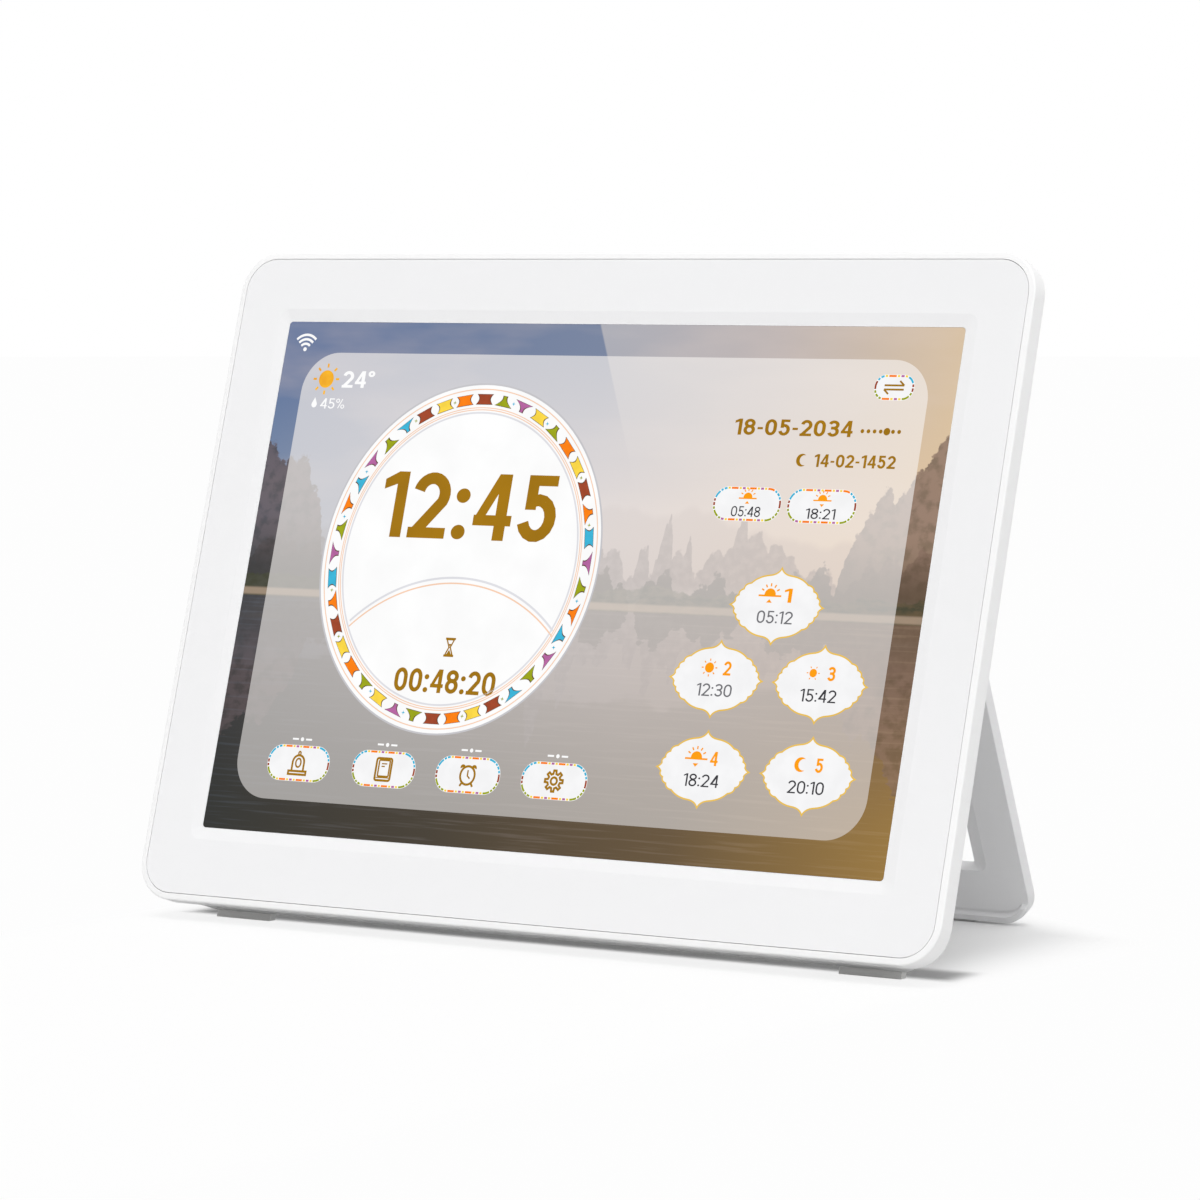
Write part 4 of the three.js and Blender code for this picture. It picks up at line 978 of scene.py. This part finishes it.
menuShape = {"z": -51.9, "size": (20.7, 9.9), "sign": 1.12, "captionZ": -45.3, "dot": 0.55, "pen": 0.5,
             "dash": (1.2, 3.2), "places": (-78.3, -50.0, -22.7, 4.7)}
sunTimeShape = {"z": 23.6, "size": (20.6, 9.1), "sunZ": 25.3, "sun": 1.35, "timeZ": 21.6,
                "time": (2.75, 8.8), "rows": [(50.2, "05:48", True), (72.6, "18:21", False)]}
swapShape = {"place": (88.6, 55.2), "size": (11.8, 6.8)}


def addPills():
    pills = Drawing("touch_pills")
    menu, times = menuShape, sunTimeShape
    for x, sign in zip(menu["places"], (nicheSign(), bookSign(), alarmSign(), gearSign())):
        pill(pills, x, menu["z"], *menu["size"])
        pills.fill(moved(sign, x, menu["z"], menu["sign"]), 5, inks["gold"])
        dash = stroke([(place, 0) for place in menu["dash"]], menu["pen"])
        caption = moved(dash, 0, 0, -1) + dash + [loop(0, 0, menu["dot"], menu["dot"], 12)]
        pills.fill(moved(caption, x, menu["captionZ"]), 3, inks["white"])
    pill(pills, *swapShape["place"], *swapShape["size"])
    pills.fill(moved(swapSign(), *swapShape["place"]), 5, inks["gold"])
    for x, time, up in times["rows"]:
        pill(pills, x, times["z"], *times["size"])
        pills.fill(moved(halfSun(times["sun"], up), x, times["sunZ"]), 5, inks["orange_word"])
        pills.fill(written(time, x, times["timeZ"], *times["time"]), 5, inks["dark"])
    pills.done()


# Cartouches: a quarter outline of arcs from the top point to the side point, in shares of the half sizes
cartoucheShape = {"wide": 13.9, "tall": 10.0, "line": 0.42, "signX": -2.4, "numberX": 3.0, "signZ": 2.9,
                  "timeZ": -2.9, "number": (3.7, 2.3), "time": (3.3, 10.6)}
cartoucheCorners = [(0, 1), (0.24, 0.80), (0.61, 0.58), (0.75, 0.42), (0.84, 0.26), (0.90, 0.11), (1, 0)]
cartoucheBows = [-0.16, 0.10, 0.20, 0.20, 0.20, -0.10]  # how far each arc bows out, in shares of its length
cartouches = [(63.8, -2.9, "05:12", "grey"), (49.1, -22.6, "12:30", "grey"), (80.1, -22.6, "15:42", "dark"),
              (49.4, -46.2, "18:24", "dark"), (80.6, -46.2, "20:10", "dark")]


def bowed(start, end, bow, steps=7):  # points on an arc from start up to end
    a, b = Vector(start), Vector(end)
    side = Vector((a.y - b.y, b.x - a.x))
    return [tuple(a.lerp(b, share) + side * bow * 4 * share * (1 - share))
            for share in (i / steps for i in range(steps))]


def cartoucheOutline():
    spans = zip(cartoucheCorners, cartoucheCorners[1:], cartoucheBows)
    quarter = [point for start, end, bow in spans for point in bowed(start, end, bow)]
    right = quarter + [(1, 0)] + [(x, -z) for x, z in reversed(quarter[1:])]
    whole = right + [(0, -1)] + [(-x, z) for x, z in reversed(right[1:])]
    return moved([whole], 0, 0, cartoucheShape["wide"], cartoucheShape["tall"])[0]


def addCartouches():
    plates = Drawing("time_cartouches")
    c = cartoucheShape
    outline = cartoucheOutline()
    signs = [halfSun(1.7, True), sunSign(1.35), sunSign(1.1, 6), halfSun(1.7, False), crescent(1.9)]
    for number, ((x, z, time, tone), sign) in enumerate(zip(cartouches, signs), 1):
        high = z + c["signZ"]
        plates.fill(moved([outline], x, z), 3, inks["paper"])
        plates.fill(moved(stroke(outline, c["line"], True), x, z), 4, inks["gold_line"])
        plates.fill(moved(sign, x + c["signX"], high), 5, inks["orange_word"])
        plates.fill(written(str(number), x + c["numberX"], high, *c["number"], "bold"), 5,
                    inks["orange_word"])
        plates.fill(written(time, x, z + c["timeZ"], *c["time"]), 5, inks[tone])
    plates.done()


# Figures and signs on the bare picture and panel. A word has its middle, height and width.
looseWords = [("24°", -80.3, 55.0, 4.7, 10.4, "bold", "white"),
              ("45%", -87.6, 48.1, 2.9, 8.2, "plain", "white"),
              ("18-05-2034", 60.6, 44.1, 4.3, 35.5, "bold", "gold"),
              ("14-02-1452", 80.3, 35.6, 3.4, 24.0, "bold", "gold")]
looseSigns = [(fanSign(4.9), -100.2, 62.9, 2, "white"), (sunSign(2.5), -91.1, 55.0, 3, "sun"),
              (dropSign(), -93.8, 48.1, 3, "white"), (crescent(1.7), 64.6, 35.6, 3, "gold")]
weekShape = {"x": 81.2, "z": 43.6, "apart": 1.8, "days": 7, "today": 4, "small": 0.55, "large": 1.0}


def addSigns():
    signs = Drawing("screen_signs")
    for sign, x, z, layer, colour in looseSigns:
        signs.fill(moved(sign, x, z), layer, inks[colour])
    for word, x, z, height, width, pen, colour in looseWords:
        signs.fill(written(word, x, z, height, width, pen), 3, inks[colour])
    w = weekShape
    sizes = [w["large" if day == w["today"] else "small"] for day in range(w["days"])]
    week = [loop(w["x"] + day * w["apart"], w["z"], size, size, 14) for day, size in enumerate(sizes)]
    signs.fill(week, 3, inks["gold"])
    signs.done()


addPicture()
addRing()
addPills()
addCartouches()
addSigns()
print("screen drawn")


# Floor, lamps and surroundings, in metres
# Seen by the camera, the floor turns plain white away from the object's shadow: beside it, in front of it
# and far off. Light that bounces off it meets a plain pale floor.
floorShape = {"radius": 8.0, "segments": 64, "sunk": 0.00002, "bounce": 0.8, "seen": 0.97, "white": 0.985}
fadeShape = {"side": 0.085, "back": 0.045, "backSlope": 1.6, "sideFade": (0.008, 0.048), "front": -0.0422,
             "frontFade": 0.0048, "frontShare": 0.84, "far": (0.2, 0.5)}
underCase = {"end": 0.124, "endFade": 0.008, "back": -0.024, "backFade": 0.012}  # where nothing fades
# A painted shadow: the floor is darkened in a narrow strip where the case nearly meets it
paintedShadowShape = {"end": 0.122, "endFade": 0.008, "front": -0.0445, "frontFade": 0.005, "back": -0.032,
              "backFade": 0.008, "share": 0.5, "black": 0.02}


def floorPaint():
    paint = newPaint("floor_white")
    x, y = paint.axis(0), paint.axis(1)
    fade, under, strip = fadeShape, underCase, paintedShadowShape
    beside = abs(x) - fade["side"] + (y - fade["back"]).most(0) * fade["backSlope"]
    covered = ((under["end"] - abs(x)).rise(0, under["endFade"])
               * (under["back"] - y).rise(0, under["backFade"]))
    inFront = (fade["front"] - y).rise(0, fade["frontFade"]) * fade["frontShare"]
    away = paint.node("ShaderNodeVectorMath", {"operation": "LENGTH"}, {0: paint.place()}, 1)
    faded = (beside.rise(*fade["sideFade"]) * (1 - covered)).most(inFront).most(away.rise(*fade["far"]))
    # Painted shadow: the mask of the dark strip under the case's foot, which mixes the floor towards near
    # black
    dark = ((strip["end"] - abs(x)).rise(0, strip["endFade"])
            * y.rise(strip["front"], strip["front"] + strip["frontFade"])
            * (strip["back"] - y).rise(-strip["backFade"], 0) * strip["share"])

    def matt(grey):
        return paint.node("ShaderNodeBsdfDiffuse", {}, {"Color": (grey, grey, grey, 1)})

    def blend(share, first, second):
        return paint.node("ShaderNodeMixShader", {}, {0: share, 1: first, 2: second})

    bright = paint.node("ShaderNodeEmission", {}, {"Color": (1, 1, 1, 1), "Strength": floorShape["white"]})
    shown = blend(dark, blend(faded, matt(floorShape["seen"]), bright), matt(strip["black"]))
    seen = paint.node("ShaderNodeLightPath", out="Is Camera Ray")
    return paint.show(blend(seen, matt(floorShape["bounce"]), shown))


def addFloor():
    mesh = bmesh.new()
    bmesh.ops.create_circle(mesh, cap_ends=True, radius=floorShape["radius"],
                            segments=floorShape["segments"])
    data = bpy.data.meshes.new("floor")
    mesh.to_mesh(data)
    mesh.free()
    data.materials.append(floorPaint())
    floor = bpy.data.objects.new("floor", data)
    floor.location.z = -floorShape["sunk"]
    scene.collection.objects.link(floor)


# What the world gives off: more from above and from the viewer's right. Seen, mirrored or looked through,
# it is white.
worldShape = {"low": 0.41, "gain": 0.3, "rise": (-0.1, 0.9), "left": 0.83, "sideGain": 0.22,
              "side": (-0.9, 0.4)}


def addWorld():
    scene.world = bpy.data.worlds.new("studio")
    paint, shape = Paint(scene.world, "World"), worldShape
    way = paint.node("ShaderNodeTexCoord", out="Generated")
    soft = ((shape["low"] + paint.axis(2, way).rise(*shape["rise"]) * shape["gain"])
            * (shape["left"] + paint.axis(0, way).rise(*shape["side"]) * shape["sideGain"]))
    seen, mirrored, through = (paint.node("ShaderNodeLightPath", out="Is %s Ray" % kind)
                               for kind in ("Camera", "Glossy", "Transmission"))
    shown = seen.most(mirrored).most(through)
    paint.show(paint.node("ShaderNodeBackground", {},
                          {"Color": (1, 1, 1, 1), "Strength": soft * (1 - shown) + shown}))


lamps = {"key": {"from": (0.16, -0.4, 0.88), "strength": 1.38, "angle": 32},
         "fill": {"from": (0.8, -0.5, 0.45), "strength": 0.1, "angle": 60}}


def addLamps():
    for name, lamp in lamps.items():
        data = bpy.data.lights.new(name, "SUN")
        data.energy, data.angle = lamp["strength"], math.radians(lamp["angle"])
        sun = bpy.data.objects.new(name, data)
        sun.rotation_mode = "QUATERNION"
        sun.rotation_quaternion = (-Vector(lamp["from"])).to_track_quat("-Z", "Y")
        scene.collection.objects.link(sun)


addFloor()
addWorld()
addLamps()
print("stage set")
